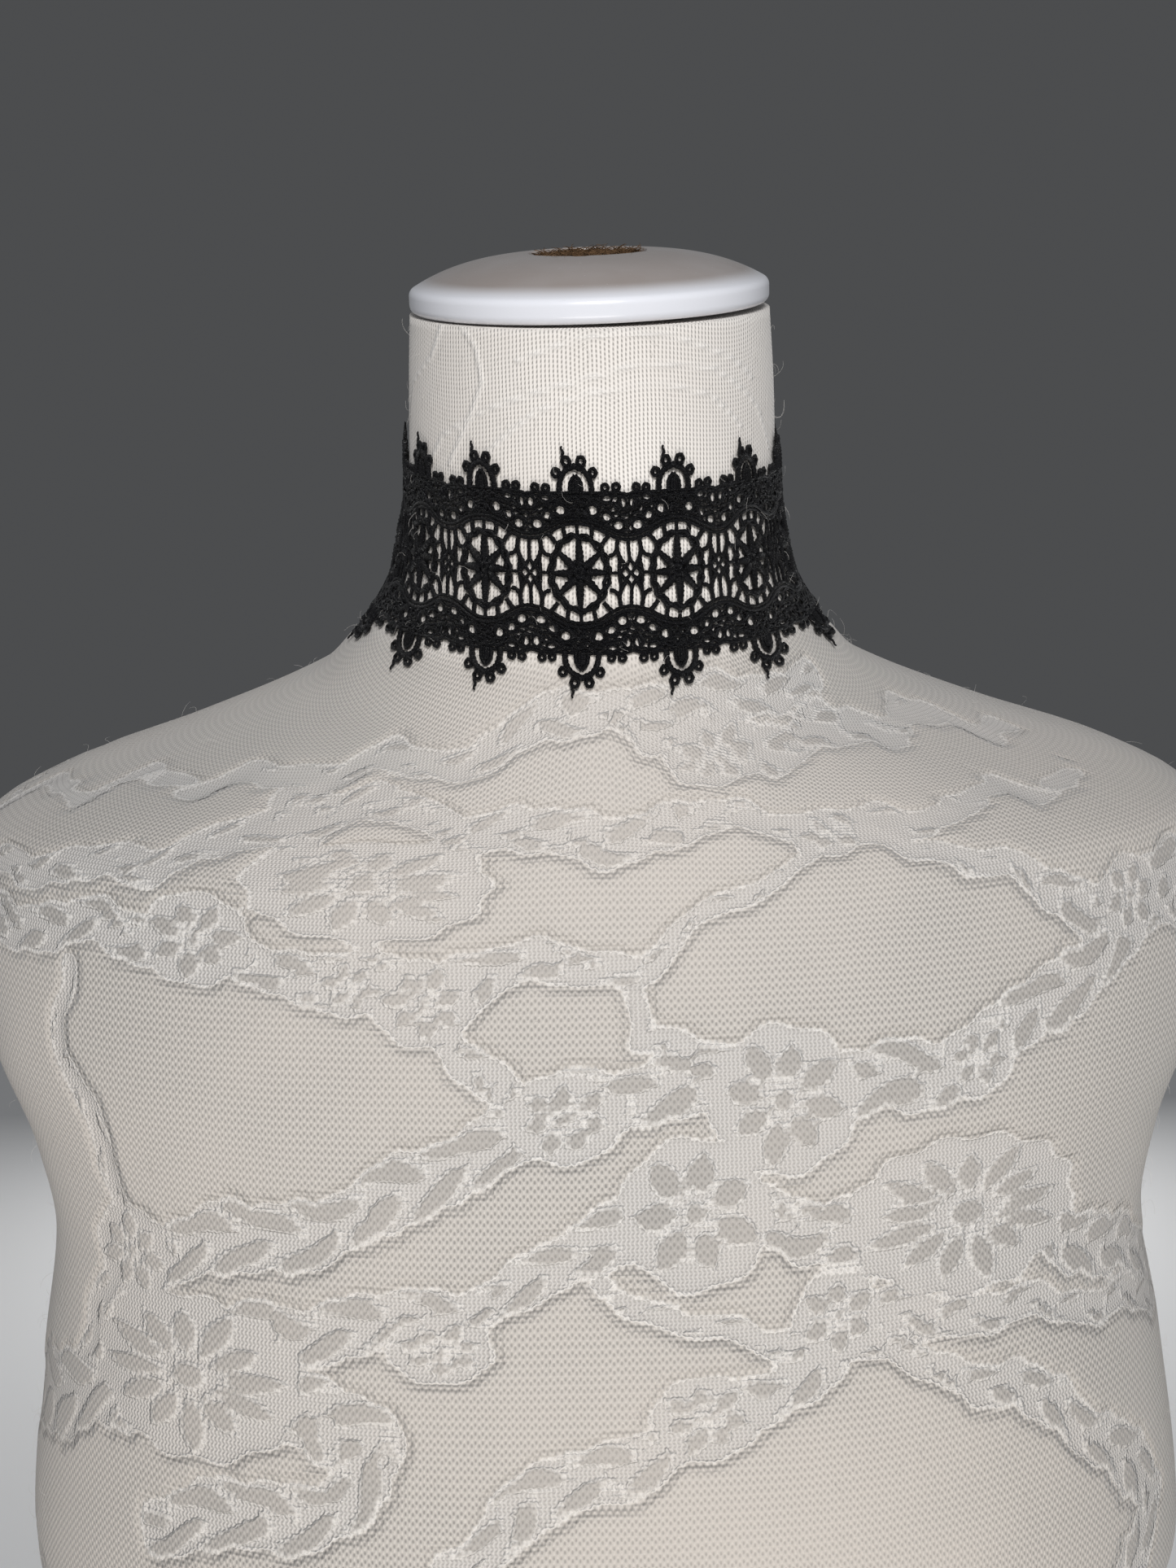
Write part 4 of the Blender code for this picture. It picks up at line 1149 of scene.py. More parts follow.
def knit_look(settings):
    """Ivory jacquard knit: slit ground, ribbed bands with leaves, meshed petals, plain neck.

    Lengths are millimetres on the cover's own UV map, which gives true lengths across and up.
    """
    look, nodes, shader = new_look(
        "ivory_jacquard_knit", Specular_IOR_Level=0.22, Sheen_Weight=0.25, Sheen_Roughness=0.55,
    )
    map_node = nodes.add("ShaderNodeUVMap", uv_map="knit")
    parts = nodes.add("ShaderNodeSeparateXYZ")
    nodes.feed(parts.inputs[0], map_node.outputs["UV"])
    place = nodes.place()
    drift = nodes.scaled(nodes.noise(place, 55.0), 0.9, -0.45)
    across = nodes.plus(nodes.times(parts.outputs["X"], 1000.0), drift)
    up = nodes.plus(nodes.times(parts.outputs["Y"], 1000.0), drift)
    in_neck = nodes.ramp(nodes.attribute("neck"), -6.0, 6.0)
    not_neck = nodes.scaled(in_neck, -0.7, 1.0)
    # Ragged knit edges: the outlines step with the stitches.
    rag = nodes.scaled(nodes.wave(across, 1.9), 0.16, nodes.times(nodes.wave(up, 1.35), 0.15))
    band = nodes.plus(nodes.attribute("band"), rag)
    figure = nodes.plus(nodes.larger(nodes.attribute("leaf"), nodes.attribute("petal")), rag)
    in_figure = nodes.ramp(figure, -0.35, 0.35)
    in_band = nodes.times(nodes.ramp(band, -0.4, 0.4), nodes.math("SUBTRACT", 1.0, in_figure))
    # Stitch reliefs, each from 0 to 1: a ground of upright slits, fine ribs, and plain wales.
    column = nodes.wave(across, 1.85)
    course = nodes.wave(nodes.scaled(column, 0.16, up), 2.1)
    narrow = nodes.times(column, nodes.math("ABSOLUTE", column))
    ground = nodes.scaled(nodes.times(narrow, course), 0.5, 0.5)
    zigzag = nodes.scaled(nodes.wave(up, 1.7), 0.24, across)
    rib = nodes.scaled(nodes.wave(zigzag, 1.1), 0.30, 0.63)
    rib = nodes.scaled(nodes.wave(up, 0.85), 0.09, rib)
    slit = nodes.ramp(nodes.wave(across, 1.12), 0.25, 1.0)
    slit = nodes.times(slit, nodes.scaled(nodes.wave(up, 1.25), 0.35, 0.65))
    wale = nodes.scaled(slit, -0.72, 0.76)
    relief = nodes.mix(in_neck, nodes.mix(in_band, ground, rib), wale)
    # The bands lie lower, the leaves and petals stand on them, and a yarn rounds each edge.
    welt_and_highlight = nodes.larger(outline(nodes, band, 0.38), outline(nodes, figure, 0.5))
    grain = nodes.scaled(nodes.wave(up, 1.25), 0.15, 0.85)
    line = nodes.times(outline(nodes, nodes.attribute("ring"), 0.85), nodes.times(in_neck, grain))
    welt_and_highlight = nodes.scaled(line, 1.7, nodes.times(welt_and_highlight, not_neck))
    rise = nodes.times(nodes.ramp(band, -3.3, 0.5), -1.5)
    rise = nodes.times(nodes.scaled(nodes.ramp(figure, -0.7, 1.2), 1.1, rise), not_neck)
    fuzz, _ = fibres(nodes, place, 1500.0)
    total = nodes.scaled(relief, 0.34, nodes.times(welt_and_highlight, 0.30))
    total = nodes.scaled(fuzz, 0.04, nodes.plus(rise, total))
    total = nodes.scaled(nodes.ramp(nodes.attribute("seam"), 0.0, 1.6, 1.0, 0.0), -0.8, total)
    bump(nodes, shader, total, settings.relief_depth)
    # Colour: the bands are silvery and the raised parts warmer; the slits between stitches get painted
    # shade.
    yarn = settings.yarn_colour
    shadow = tinted(yarn, settings.cavity_shade)
    raised = tinted(yarn, 0.91, 0.90, 0.885)
    silver = tinted(yarn, 0.93, 0.94, 0.955)
    tone = nodes.blend(nodes.times(in_band, not_neck), raised, silver)
    meshed = nodes.times(nodes.times(in_figure, not_neck), 0.85)
    tone = nodes.blend(meshed, tone, tinted(yarn, 0.64))
    # Painted light: the neck is coloured 1.36 times the yarn, standing in for the stronger light on its
    # front.
    tone = nodes.blend(in_neck, tone, tinted(yarn, 1.36))
    # Painted shade: the low parts of the stitch relief are coloured towards the shadow tone.
    hollow_shade = nodes.ramp(relief, 0.0, 0.80, 1.0, 0.0)
    depth = nodes.mix(in_neck, nodes.mix(in_band, 1.0, 0.85), 0.95)
    tone = nodes.blend(nodes.times(hollow_shade, depth), tone, shadow)
    # Painted shade: a dark line just inside each band's edge, where the ground steps down.
    crease_shade = nodes.times(outline(nodes, nodes.plus(band, -0.75), 0.45), in_band)
    tone = nodes.blend(nodes.times(crease_shade, nodes.times(not_neck, 0.16)), tone, shadow)
    # Painted highlight: the welts and the neck's raised lines are coloured lighter than the yarn,
    # standing in for light on the ridges; their bump is real relief.
    light = tinted(yarn, 1.42, 1.45, 1.48)
    tone = nodes.blend(nodes.times(welt_and_highlight, 0.48, clamp=True), tone, light)
    patch = nodes.ramp(nodes.noise(place, 9.0, 3.0), 0.35, 0.7)
    tone = nodes.blend(nodes.times(patch, 0.45), tone, tinted(yarn, 1.0, 0.955, 0.92))
    finish(nodes, shader, tone, nodes.mix(in_band, 0.86, 0.66))
    return look


def outline(nodes, distance, width):
    """A rounded ridge where a distance in millimetres passes zero: e to the minus its square."""
    scaled = nodes.math("DIVIDE", distance, width)
    return nodes.math("EXPONENT", nodes.times(nodes.times(scaled, scaled), -1.0))


def loose_fibre_look(settings):
    """Fine ivory fibres, each a little lighter or darker."""
    look, nodes, shader = new_look("ivory_loose_fibre", Specular_IOR_Level=0.3, Sheen_Weight=0.3)
    yarn = settings.yarn_colour
    tone = nodes.blend(nodes.attribute("shade"), yarn, tinted(yarn, 1.15))
    finish(nodes, shader, tone, 0.7)
    return look


def floor_look(settings):
    """Plain pale studio floor."""
    look, nodes, shader = new_look("pale_floor", Specular_IOR_Level=0.2)
    base = settings.floor_colour
    tone = nodes.blend(nodes.noise(nodes.place(), 1.5, 2.0), base, tinted(base, 0.985))
    finish(nodes, shader, tone, 0.9)
    return look


class CoverSettings(bpy.types.PropertyGroup):
    yarn_colour: FloatVectorProperty(
        name="Yarn colour", description="Colour of the ivory yarn", subtype="COLOR",
        size=3, min=0.0, max=1.0, default=(0.60, 0.572, 0.542),
    )
    relief_depth: FloatProperty(
        name="Relief depth", description="Height that a full step of the knit's relief stands for",
        subtype="DISTANCE", unit="LENGTH", default=1.0 * MM, min=0.0,
    )
    # Painted shade: how dark the hollows between stitches are coloured, as a share of the yarn.
    cavity_shade: FloatProperty(
        name="Cavity tone", description="Share of the yarn's brightness between its stitches",
        subtype="FACTOR", default=0.42, min=0.0, max=1.0,
    )
    fuzz_count: IntProperty(
        name="Loose fibres", description="How many loose fibres stand out of the knit",
        default=1500, min=0,
    )


class LaceSettings(bpy.types.PropertyGroup):
    cord_scale: FloatProperty(
        name="Cord scale", description="Share of the charted radius that each cord is made with",
        subtype="FACTOR", default=1.0, min=0.3, max=1.5,
    )
    stitch_pitch: FloatProperty(
        name="Stitch pitch", description="Length of one wrapped stitch along a cord",
        subtype="DISTANCE", unit="LENGTH", default=0.42 * MM, min=0.1 * MM,
    )
    thread_colour: FloatVectorProperty(
        name="Thread colour", description="Colour of the black lace thread", subtype="COLOR",
        size=3, min=0.0, max=1.0, default=(0.0022, 0.0022, 0.0030),
    )


class ClosureSettings(bpy.types.PropertyGroup):
    wire_radius: FloatProperty(
        name="Wire radius", description="Radius of the hooks' and eyes' wire",
        subtype="DISTANCE", unit="LENGTH", default=0.35 * MM, min=0.1 * MM,
    )
    wire_colour: FloatVectorProperty(
        name="Wire colour", description="Colour of the painted wire", subtype="COLOR",
        size=3, min=0.0, max=1.0, default=(0.02, 0.02, 0.022),
    )
    tape_colour: FloatVectorProperty(
        name="Tape colour", description="Colour of the end tapes", subtype="COLOR",
        size=3, min=0.0, max=1.0, default=(0.008, 0.008, 0.009),
    )


class CapSettings(bpy.types.PropertyGroup):
    plastic_colour: FloatVectorProperty(
        name="Cap colour", description="Colour of the neck cap's plastic", subtype="COLOR",
        size=3, min=0.0, max=1.0, default=(0.74, 0.75, 0.80),
    )
    fibre_colour: FloatVectorProperty(
        name="Core colour", description="Colour of the torn fibre core", subtype="COLOR",
        size=3, min=0.0, max=1.0, default=(0.125, 0.072, 0.036),
    )
    strand_count: IntProperty(
        name="Core strands", description="How many torn strands stand on the core",
        default=420, min=0,
    )


class StudioSettings(bpy.types.PropertyGroup):
    key_power: FloatProperty(
        name="Key power", description="Power of the large key light", unit="POWER",
        default=1.02, min=0.0,
    )
    fill_power: FloatProperty(
        name="Fill power", description="Power of the fill light", unit="POWER",
        default=1.02, min=0.0,
    )
    back_power: FloatProperty(
        name="Back power", description="Power of the light behind the form", unit="POWER",
        default=12.0, min=0.0,
    )
    floor_colour: FloatVectorProperty(
        name="Floor colour", description="Colour of the plain floor", subtype="COLOR",
        size=3, min=0.0, max=1.0, default=(0.74, 0.74, 0.74),
    )
    lens: FloatProperty(
        name="Lens", description="Focal length, for a 36 mm long side of the picture",
        subtype="DISTANCE_CAMERA", default=2400.0 / 1927.0 * 36.0, min=1.0,
    )


class LACECHOKER_OT_form_cover(bpy.types.Operator):
    """Make the knitted cover of the dress form"""

    bl_idname = "lace_choker.form_cover"
    bl_label = "Form Cover"

    def execute(self, context):
        settings = context.scene.lace_choker_cover
        heights = cover_heights()
        turns = cover_turns()
        points = form_points(heights[:, None], turns[None, :])
        rows, columns = points.shape[:2]
        # Lengths round each row from the middle of the back, counted from the front's middle.
        signed = np.where(turns > math.pi, turns - 2.0 * math.pi, turns)
        order = np.argsort(signed)
        signed = signed[order]
        lengths = running_lengths(points[:, order], 1)
        front = np.array([np.interp(0.0, signed, row) for row in lengths])
        across = np.empty((rows, columns))
        across[:, order] = (lengths - front[:, None]) / MM
        closing = np.linalg.norm(points[:, order[0]] - points[:, order[-1]], axis=-1) / MM
        girth = lengths[:, -1] / MM + closing
        rise = running_lengths(form_points(heights, 0.0), 0)
        up = ((rise - np.interp(CHART_HEIGHT, heights, rise)) / MM)[:, None] + np.zeros((1, columns))
        skin_rise = running_lengths(points, 0)
        skin_rise = (skin_rise - skin_rise[np.searchsorted(heights, CHART_HEIGHT)]) / MM
        stretch = np.gradient(skin_rise, axis=0) / np.gradient(up, axis=0)
        # The pattern turns back at the sides and meets itself at the back's seam.
        own, other, far = folded_pattern(across, up, np.clip(stretch, 1.0, 4.0))
        last = (lengths[:, -1] / MM - front / MM)[:, None]
        first = across[:, order[0]][:, None]
        from_back = np.minimum(np.abs(last - across), np.abs(across - first))
        share = np.where(far, np.clip(0.5 + from_back / 24.0, 0.5, 1.0), 1.0)
        blended = (a * share + b * (1.0 - share) for a, b in zip(own, other))
        band, leaf, petal = (np.clip(value, -PATTERN_REACH, PATTERN_REACH) for value in blended)
        ring = np.full(across.shape, FAR_AWAY)
        for run in NECK_RUNS:
            for start, end in zip(run, run[1:]):
                ring = np.minimum(ring, segment_distances(across, up, start, end)[0])
        # The bands are sunk in the skin by a smooth step, but not on the neck.
        on_body = np.clip((NECK_START - up) / 6.0, 0.0, 1.0)
        sink = np.clip((band + 1.5) / 4.0, 0.0, 1.0)
        sink = sink * sink * (3.0 - 2.0 * sink) * on_body * BAND_SINK
        points = points - skin_normals(heights[:, None], turns[None, :]) * sink[..., None]
        quads = grid_faces(rows, columns, True)
        base = np.arange(columns)[::-1][None, :]
        top = ((rows - 1) * columns + np.arange(columns))[None, :]
        values = dict(
            band=band.ravel(), leaf=leaf.ravel(), petal=petal.ravel(),
            neck=(up - NECK_START).ravel(), ring=ring.ravel(), seam=from_back.ravel(),
        )
        faces = [quads, base, top]
        cover = new_piece("form_cover", points.reshape(-1, 3), faces, knit_look(settings), values)
        self.map_knit(cover, across, skin_rise, girth, len(quads))
        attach(cover, "root")
        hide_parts("form_torso")
        self.loose_fibres(settings)
        return {"FINISHED"}

    def map_knit(self, cover, across, up, girth, quad_count):
        """The cover's UV map in true lengths; a quad over the closing edge gets its row's girth."""
        layer = cover.data.uv_layers.new(name="knit")
        loops = np.empty(len(cover.data.loops), dtype=np.int32)
        cover.data.loops.foreach_get("vertex_index", loops)
        flat = np.stack((across.ravel()[loops], up.ravel()[loops]), axis=1)
        quads = flat[:quad_count * 4].reshape(-1, 4, 2)
        right = quads[..., 0]
        torn = (right.max(axis=1) - right.min(axis=1) > 60.0)[:, None]
        rows, columns = across.shape
        extra = np.where(right < 0.0, girth[np.repeat(np.arange(rows - 1), columns)][:, None], 0.0)
        quads[..., 0] = np.where(torn, right + extra, right)
        flat[:quad_count * 4] = quads.reshape(-1, 2)
        layer.data.foreach_set("uv", (flat * MM).astype(np.float32).ravel())

    def loose_fibres(self, settings):
        """Loose fibres: short curls that start in the knit and bend over along it."""
        random = np.random.default_rng(12)
        count = settings.fuzz_count
        height = random.uniform(0.31, 0.684, count)
        turn = random.uniform(-math.pi, math.pi, count)
        start = form_points(height, turn)
        out = skin_normals(height, turn)
        ahead = unit_vectors(form_points(height, turn + 0.01) - start)
        upward = np.cross(out, ahead)
        lean = random.uniform(0.0, 2.0 * math.pi, (count, 1, 1))
        length = random.uniform(2.0, 7.0, (count, 1, 1)) * MM
        lift = random.uniform(0.6, 1.3, (count, 1, 1))
        t = np.linspace(0.0, 1.0, 6)[None, :, None]
        bend = lean + random.uniform(-2.2, 2.2, (count, 1, 1)) * t
        along_skin = ahead[:, None, :] * np.cos(bend) + upward[:, None, :] * np.sin(bend)
        rise = lift * (t - 0.55 * t**2) * length
        paths = start[:, None, :] + along_skin * t * length * 0.8 + out[:, None, :] * (rise - 0.2 * MM)
        normals = np.broadcast_to(out[:, None, :], paths.shape)
        width = np.linspace(0.035, 0.02, 6)[None, :] * MM
        mesh = Mesh()
        sweep(mesh, paths, normals, width, width, 3, False, 1.0, random.uniform(0.0, 1.0, count))
        fuzz = mesh.make("loose_fibres", loose_fibre_look(settings))
        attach(fuzz, "root")


class LACECHOKER_OT_neck_cap(bpy.types.Operator):
    """Make the white neck cap and its torn fibre core"""

    bl_idname = "lace_choker.neck_cap"
    bl_label = "Neck Cap"

    def execute(self, context):
        settings = context.scene.lace_choker_cap
        place = neck_top()
        edge = CAP_EDGE
        arc = np.linspace(0.0, math.pi / 2.0, 9)
        across = CAP_RADIUS - edge + edge * np.sin(arc)
        low = np.stack((across, GAP + edge - edge * np.cos(arc)), axis=1)
        # The upper round turns until it has the dome's own slope at its edge.
        bend = math.pi / 2.0 - math.atan((dome_height(CAP_RADIUS - MM) - dome_height(CAP_RADIUS)) / MM)
        arc = np.linspace(0.0, bend, 9)
        first = CAP_RADIUS - edge * (1.0 - math.cos(bend))
        level = GAP + CAP_RIM + dome_height(first) - edge * math.sin(bend)
        high = np.stack((CAP_RADIUS - edge + edge * np.cos(arc), level + edge * np.sin(arc)), axis=1)
        radii = np.linspace(first - 0.5 * MM, CAP_HUB_SHARE * CAP_RADIUS, 34)
        dome = np.stack((radii, GAP + CAP_RIM + dome_height(radii)), axis=1)
        hole_edge = GAP + CAP_RIM + dome_height(CAP_HOLE_RADIUS)
        base = hole_edge - CAP_HOLE_DEPTH
        under = ((0.0, GAP), (CAP_RADIUS * 0.5, GAP))
        lip = (
            (CAP_HOLE_RADIUS + 0.25 * MM, hole_edge - 0.1 * MM),
            (CAP_HOLE_RADIUS, hole_edge - 0.5 * MM),
        )
        floor = ((CAP_HOLE_RADIUS, base), (CAP_HOLE_RADIUS * 0.5, base), (0.0, base))
        points, faces = turned(np.vstack((under, low, high, dome, lip, floor)), CAP_SEGMENTS)
        # The hole's edge is nicked here and there.
        angle = np.arctan2(points[:, 1], points[:, 0])
        radius = np.hypot(points[:, 0], points[:, 1])
        near = np.exp(-((radius - CAP_HOLE_RADIUS) / (0.9 * MM)) ** 2)
        nick = np.clip(np.sin(angle * 7.0 + 1.0) * np.sin(angle * 3.0) - 0.45, 0.0, 1.0)
        points[:, 2] -= near * nick * 1.1 * MM
        values = dict(radial=radius / CAP_RADIUS)
        points = carried(place, points)
        cap = new_piece("neck_cap_shell", points, faces, plastic_look(settings), values)
        cap.data.set_sharp_from_angle(angle=math.radians(50.0))
        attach(cap, "root")
        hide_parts("neck_cap")
        self.core(settings, place, hole_edge)
        return {"FINISHED"}

    def core(self, settings, place, hole_edge):
        """The torn core: a low rough mound, with thin strands that stand and lie on it."""
        random = np.random.default_rng(CORE_SEED)
        radius = CAP_HOLE_RADIUS - GAP
        top = hole_edge - CORE_SINK
        base = hole_edge - CAP_HOLE_DEPTH + GAP
        steps = np.linspace(1.0, 0.03, 26)
        rough = [(radius, top - 0.6 * MM)] + [(radius * s, top - 0.3 * MM) for s in steps[1:]]
        profile = [(0.0, base), (radius, base)] + rough + [(0.0, top - 0.3 * MM)]
        points, faces = turned(profile, CORE_SEGMENTS)
        angle = np.arctan2(points[:, 1], points[:, 0])
        away = np.hypot(points[:, 0], points[:, 1]) / radius
        upper = points[:, 2] > top - 1.0 * MM
        lumps = np.sin(9.0 * away + 2.0 * np.sin(3.0 * angle)) * np.cos(5.0 * angle + 4.0 * away)
        lumps = lumps + 0.6 * np.sin(17.0 * away - 7.0 * angle) * np.sin(11.0 * angle)
        ease = np.clip((1.0 - away) * 6.0, 0.0, 1.0)
        points[:, 2] += np.where(upper, (lumps * 0.5 + 0.1) * ease * MM, 0.0)
        mesh = Mesh()
        still = np.zeros(len(points))
        mesh.add(points, faces, along=still, across=still, shade=still)
        count = settings.strand_count
        start_angle = random.uniform(0.0, 2.0 * math.pi, count)
        start_radius = radius * 0.95 * np.sqrt(random.uniform(0.0, 1.0, count))
        start_x = start_radius * np.cos(start_angle)
        start_y = start_radius * np.sin(start_angle)
        start_z = np.full(count, top - 0.4 * MM)
        lean = random.uniform(0.0, 2.0 * math.pi, count)
        length = random.uniform(2.0, 6.0, count) * MM
        lift = random.uniform(0.1, 0.6, count)
        t = np.linspace(0.0, 1.0, 6)[None, :]
        curl = random.uniform(-1.6, 1.6, count)[:, None] * t
        flat = length[:, None] * t * np.cos(lift * 1.4)[:, None]
        x = start_x[:, None] + flat * np.cos(lean[:, None] + curl)
        y = start_y[:, None] + flat * np.sin(lean[:, None] + curl)
        z = start_z[:, None] + length[:, None] * np.sin(lift * 1.4)[:, None] * (t - 0.45 * t**2)
        reach = np.hypot(x, y)
        held = np.minimum(1.0, radius * 0.97 / np.maximum(reach, 1e-9))
        paths = np.stack((x * held, y * held, z), axis=-1)
        normals = np.broadcast_to((0.0, 0.0, 1.0), paths.shape)
        width = np.linspace(0.16, 0.05, 6)[None, :] * MM
        sweep(mesh, paths, normals, width, width, 4, False, 1.0, random.uniform(0.0, 1.0, count))
        mesh.points = [carried(place, part) for part in mesh.points]
        core = mesh.make("cap_fibre_core", fibre_look(settings))
        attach(core, "root")
        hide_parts("cap_fibre")


class LACECHOKER_OT_closure(bpy.types.Operator):
    """Make the end tapes with their stitches, the hooks and the eyes"""

    bl_idname = "lace_choker.closure"
    bl_label = "Closure"

    def execute(self, context):
        settings = context.scene.lace_choker_closure
        neck = Neckline()
        lace_length = neck.girth - CLOSURE_GAP - 2.0 * (TAB_WIDTH + GAP)
        tape = tape_look(settings)
        self.tape(neck, "end_tape_left", "tab_left", -1.0, lace_length, tape)
        self.tape(neck, "end_tape_right", "tab_right", 1.0, lace_length, tape)
        self.wires(neck, wire_look(settings), settings.wire_radius)
        return {"FINISHED"}

    def tape(self, neck, name, node, side, lace_length, look):
        """A folded tape: a rounded oblong section carried up the lace's end, and its stitches."""
        near = side * (lace_length / 2.0 + GAP)
        centre = near + side * TAB_WIDTH / 2.0
        angle = 2.0 * math.pi * (np.arange(28) + 0.5) / 28
        right = np.cos(angle)
        over = np.sin(angle)
        wide = np.sign(right) * np.abs(right) ** TAPE_SQUARENESS * TAB_WIDTH / 2.0
        thick = np.sign(over) * np.abs(over) ** TAPE_SQUARENESS * TAB_THICKNESS / 2.0
        up = np.linspace(-TAB_HEIGHT / 2.0, TAB_HEIGHT / 2.0, 64)
        out = LACE_CLEARANCE + TAB_THICKNESS / 2.0 + thick
        mesh = Mesh()
        along = centre + wide[None, :] + 0.0 * up[:, None]
        points, _ = neck.points(along, up[:, None], out[None, :])
        rows, columns = points.shape[:2]
        quads = grid_faces(rows, columns, True)[:, ::-1]
        low = np.arange(columns)[None, :]
        high = ((rows - 1) * columns + np.arange(columns))[None, ::-1]
        rib = np.broadcast_to(up[:, None] / MM, (rows, columns))
        still = np.zeros(rows * columns)
        mesh.add(points, [quads, low, high], along=rib.ravel(), across=still, shade=still)
        stitches = np.linspace(-0.46, 0.46, 22) * TAB_HEIGHT
        line = near + side * 0.7 * MM
        t = np.linspace(-0.5, 0.5, 5)[None, :]
        stitch_up = stitches[:, None] + t * 1.3 * MM
        stitch_along = line + t * 0.35 * MM + 0.0 * stitch_up
        lift = LACE_CLEARANCE + TAB_THICKNESS + (0.10 - 0.35 * (2.0 * t) ** 2) * MM + 0.0 * stitch_up
        paths, normals = neck.points(stitch_along, stitch_up, lift)
        sweep(mesh, paths, normals, 0.2 * MM, 0.2 * MM, 6, False, 0.3, np.full(len(stitches), 0.5))
        tape = mesh.make(name, look)
        tape.data.set_sharp_from_angle(angle=math.radians(60.0))
        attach(tape, "root")
        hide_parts(node)

    def wires(self, neck, look, radius):
        """Hooks and eyes: smooth round wires through the same places as in the part's source."""
        loop = EYE_LOOP
        turn = np.radians(-72.0 + 36.0 * np.arange(5))
        bend = np.stack((0.05 + loop * np.cos(turn), loop * np.sin(turn), np.full(5, 0.75)), axis=1)
        low = ((-4.4, -loop, 0.8), (-1.6, -loop, 0.8))
        high = ((-1.6, loop, 0.8), (-4.4, loop, 0.8))
        eye_path = np.vstack((low, bend, high))
        face = LACE_CLEARANCE + TAB_THICKNESS
        for name, nodes, path in (
            ("black_hooks", ("hook_1", "hook_2", "hook_3"), HOOK_PATH),
            ("black_eyes", ("eye_1", "eye_2", "eye_3"), eye_path),
        ):
            line = smooth_line(path, WIRE_STEP)
            mesh = Mesh()
            for level in HOOK_HEIGHTS:
                height, angle = neck.place(np.array(neck.girth / 2.0), np.array(level))
                out = skin_normals(height, angle)
                step = form_points(height, angle + 0.01) - form_points(height, angle - 0.01)
                ahead = unit_vectors(step)
                upward = np.cross(out, ahead)
                start = form_points(height, angle) + out * face
                shift = line[:, :1] * ahead + line[:, 1:2] * upward + line[:, 2:] * out
                points = (start + shift * MM)[None]
                guide = upward if name == "black_hooks" else out
                normals = np.broadcast_to(guide, points.shape)
                sweep(mesh, points, normals, radius, radius, 12, False, WIRE_STEP, np.zeros(1))
            wires = mesh.make(name, look)
            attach(wires, "root")
            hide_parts(*nodes)


class LACECHOKER_OT_lace(bpy.types.Operator):
    """Make the corded lace strip round the neck"""

    bl_idname = "lace_choker.lace"
    bl_label = "Lace Strip"

    def execute(self, context):
        settings = context.scene.lace_choker_lace
        neck = Neckline()
        lace_length = neck.girth - CLOSURE_GAP - 2.0 * (TAB_WIDTH + GAP)
        unit = lace_length / (REPEATS_LEFT + REPEATS_RIGHT) / CHART_REPEAT
        look = thread_look(settings)
        left = -REPEATS_LEFT * CHART_REPEAT
        seam = SEAM_REPEAT * CHART_REPEAT
        right = REPEATS_RIGHT * CHART_REPEAT
        # Each length of lace: its piece, node, first and last wheel, ends, and the pieces it goes with.
        lengths = (
            ("lace_strip_left", "lace_left", -6, 0, left, seam, ("end_tape_left", "black_hooks")),
            ("lace_strip_right", "lace_right", 1, 6, seam, right, ("end_tape_right", "black_eyes")),
        )
        for name, node, first, last, start, end, others in lengths:
            maker = LaceMaker(neck, unit, settings.cord_scale, first, last, 7 + last)
            maker.wheels_and_spokes()
            maker.openwork()
            maker.dip_stems(last == 6)
            maker.borders(start, end)
            strip = maker.mesh.make(name, look)
            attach(strip, "root")
            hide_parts(node)
        return {"FINISHED"}


class LACECHOKER_OT_studio(bpy.types.Operator):
    """Set the floor, the soft lights and the camera"""

    bl_idname = "lace_choker.studio"
    bl_label = "Studio"

    def execute(self, context):
        settings = context.scene.lace_choker_studio
        side = np.linspace(-FLOOR_REACH, FLOOR_REACH, FLOOR_LINES)
        x, y = np.meshgrid(side, side)
        points = np.stack((x, y, np.zeros_like(x)), axis=-1).reshape(-1, 3)
        faces = [grid_faces(FLOOR_LINES, FLOOR_LINES, False)]
        floor = new_piece("studio_floor", points, faces, floor_look(settings))
        powers = (settings.key_power, settings.fill_power, settings.back_power)
        for light, power in zip(LIGHTS, powers):
            area_light(*light, power)
        world = bpy.data.worlds.new("studio_world")
        world.use_nodes = True
        shade = world.node_tree.nodes["Background"]
        shade.inputs["Color"].default_value = (*WORLD_COLOUR, 1.0)
        wiring = Nodes(world.node_tree)
        seen = wiring.add("ShaderNodeLightPath").outputs["Is Camera Ray"]
        wiring.feed(shade.inputs["Strength"], wiring.mix(seen, WORLD_LIGHT, WORLD_SEEN))
        context.scene.world = world
        camera_data = bpy.data.cameras.new("studio_camera")
        camera_data.sensor_width = FILM_WIDTH
        camera_data.sensor_fit = "AUTO"
        camera_data.lens = settings.lens
        camera = bpy.data.objects.new("studio_camera", camera_data)
        context.scene.collection.objects.link(camera)
        aim = np.array((0.0, math.cos(CAMERA_PITCH), -math.sin(CAMERA_PITCH)))
        level_up = np.array((0.0, math.sin(CAMERA_PITCH), math.cos(CAMERA_PITCH)))
        level_right = np.array((1.0, 0.0, 0.0))
        above = level_up * math.cos(CAMERA_ROLL) + level_right * math.sin(CAMERA_ROLL)
        right = level_right * math.cos(CAMERA_ROLL) - level_up * math.sin(CAMERA_ROLL)
        turn = Matrix(np.stack((right, above, -aim), axis=1).tolist()).to_4x4()
        camera.matrix_world = Matrix.Translation(CAMERA_PLACE) @ turn
        context.scene.camera = camera
        context.scene.view_settings.view_transform = "Standard"
        return {"FINISHED"}


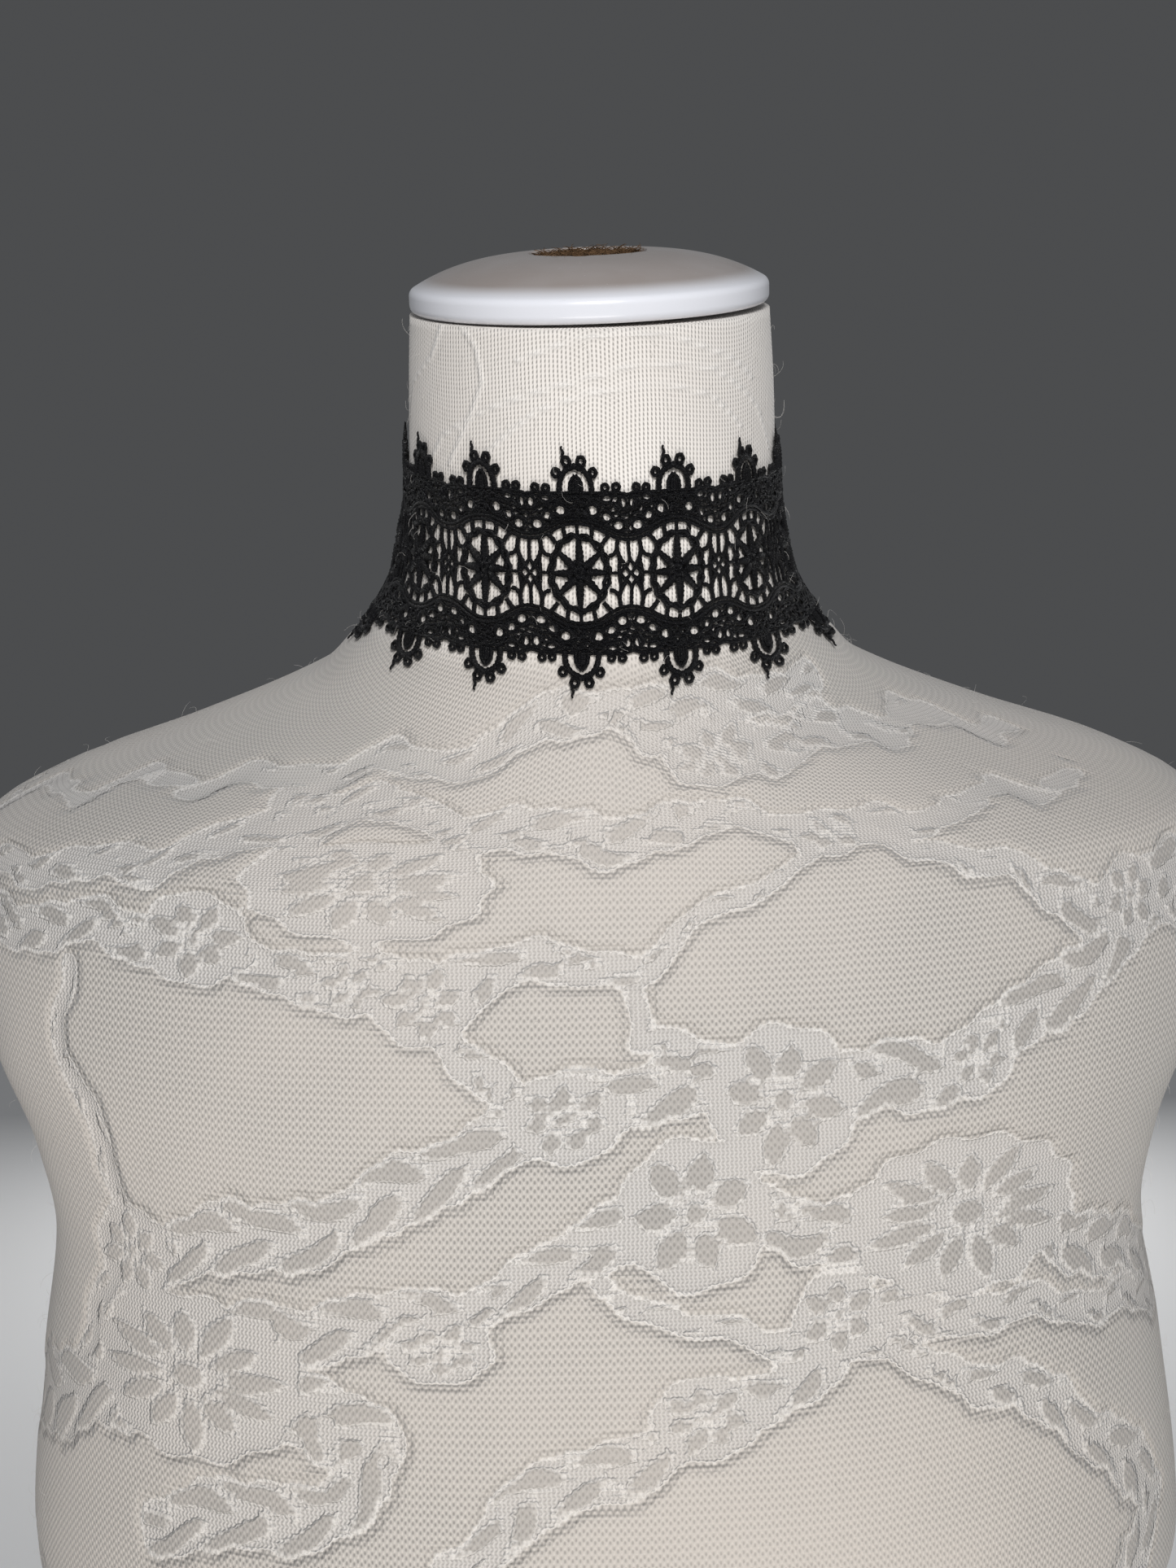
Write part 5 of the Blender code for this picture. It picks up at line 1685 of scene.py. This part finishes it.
def area_light(name, place, target, size, spread, tint, power):
    """A square soft light that looks at a point, with its spread in degrees."""
    data = bpy.data.lights.new(name, "AREA")
    data.size = size
    data.energy = power
    data.spread = math.radians(spread)
    data.color = tint
    light = bpy.data.objects.new(name, data)
    bpy.context.scene.collection.objects.link(light)
    aim = Matrix.Translation(target).translation - Matrix.Translation(place).translation
    light.rotation_euler = aim.to_track_quat("-Z", "Y").to_euler()
    light.location = place
    light.visible_camera = False


class LACECHOKER_PT_panel(bpy.types.Panel):
    """Lists the pieces' settings and the buttons that make them"""

    bl_label = "Lace Choker"
    bl_idname = "LACECHOKER_PT_panel"
    bl_space_type = "VIEW_3D"
    bl_region_type = "UI"
    bl_category = "Lace Choker"

    def draw(self, context):
        for name, group, operator in SETTINGS:
            box = self.layout.box()
            for setting in group.__annotations__:
                box.prop(getattr(context.scene, name), setting)
            box.operator(operator)


# The scene's settings, their groups and the operators that use them.
SETTINGS = (
    ("lace_choker_cover", CoverSettings, "lace_choker.form_cover"),
    ("lace_choker_cap", CapSettings, "lace_choker.neck_cap"),
    ("lace_choker_closure", ClosureSettings, "lace_choker.closure"),
    ("lace_choker_lace", LaceSettings, "lace_choker.lace"),
    ("lace_choker_studio", StudioSettings, "lace_choker.studio"),
)
CLASSES = (
    LACECHOKER_OT_form_cover,
    LACECHOKER_OT_neck_cap,
    LACECHOKER_OT_closure,
    LACECHOKER_OT_lace,
    LACECHOKER_OT_studio,
    LACECHOKER_PT_panel,
)


def register():
    for name, group, _ in SETTINGS:
        bpy.utils.register_class(group)
        setattr(bpy.types.Scene, name, PointerProperty(type=group))
    for made in CLASSES:
        bpy.utils.register_class(made)


def unregister():
    for made in reversed(CLASSES):
        bpy.utils.unregister_class(made)
    for name, group, _ in reversed(SETTINGS):
        delattr(bpy.types.Scene, name)
        bpy.utils.unregister_class(group)


def main():
    register()
    bpy.ops.lace_choker.form_cover()
    bpy.ops.lace_choker.neck_cap()
    bpy.ops.lace_choker.closure()
    bpy.ops.lace_choker.lace()
    bpy.ops.lace_choker.studio()


if __name__ == "__main__":
    main()
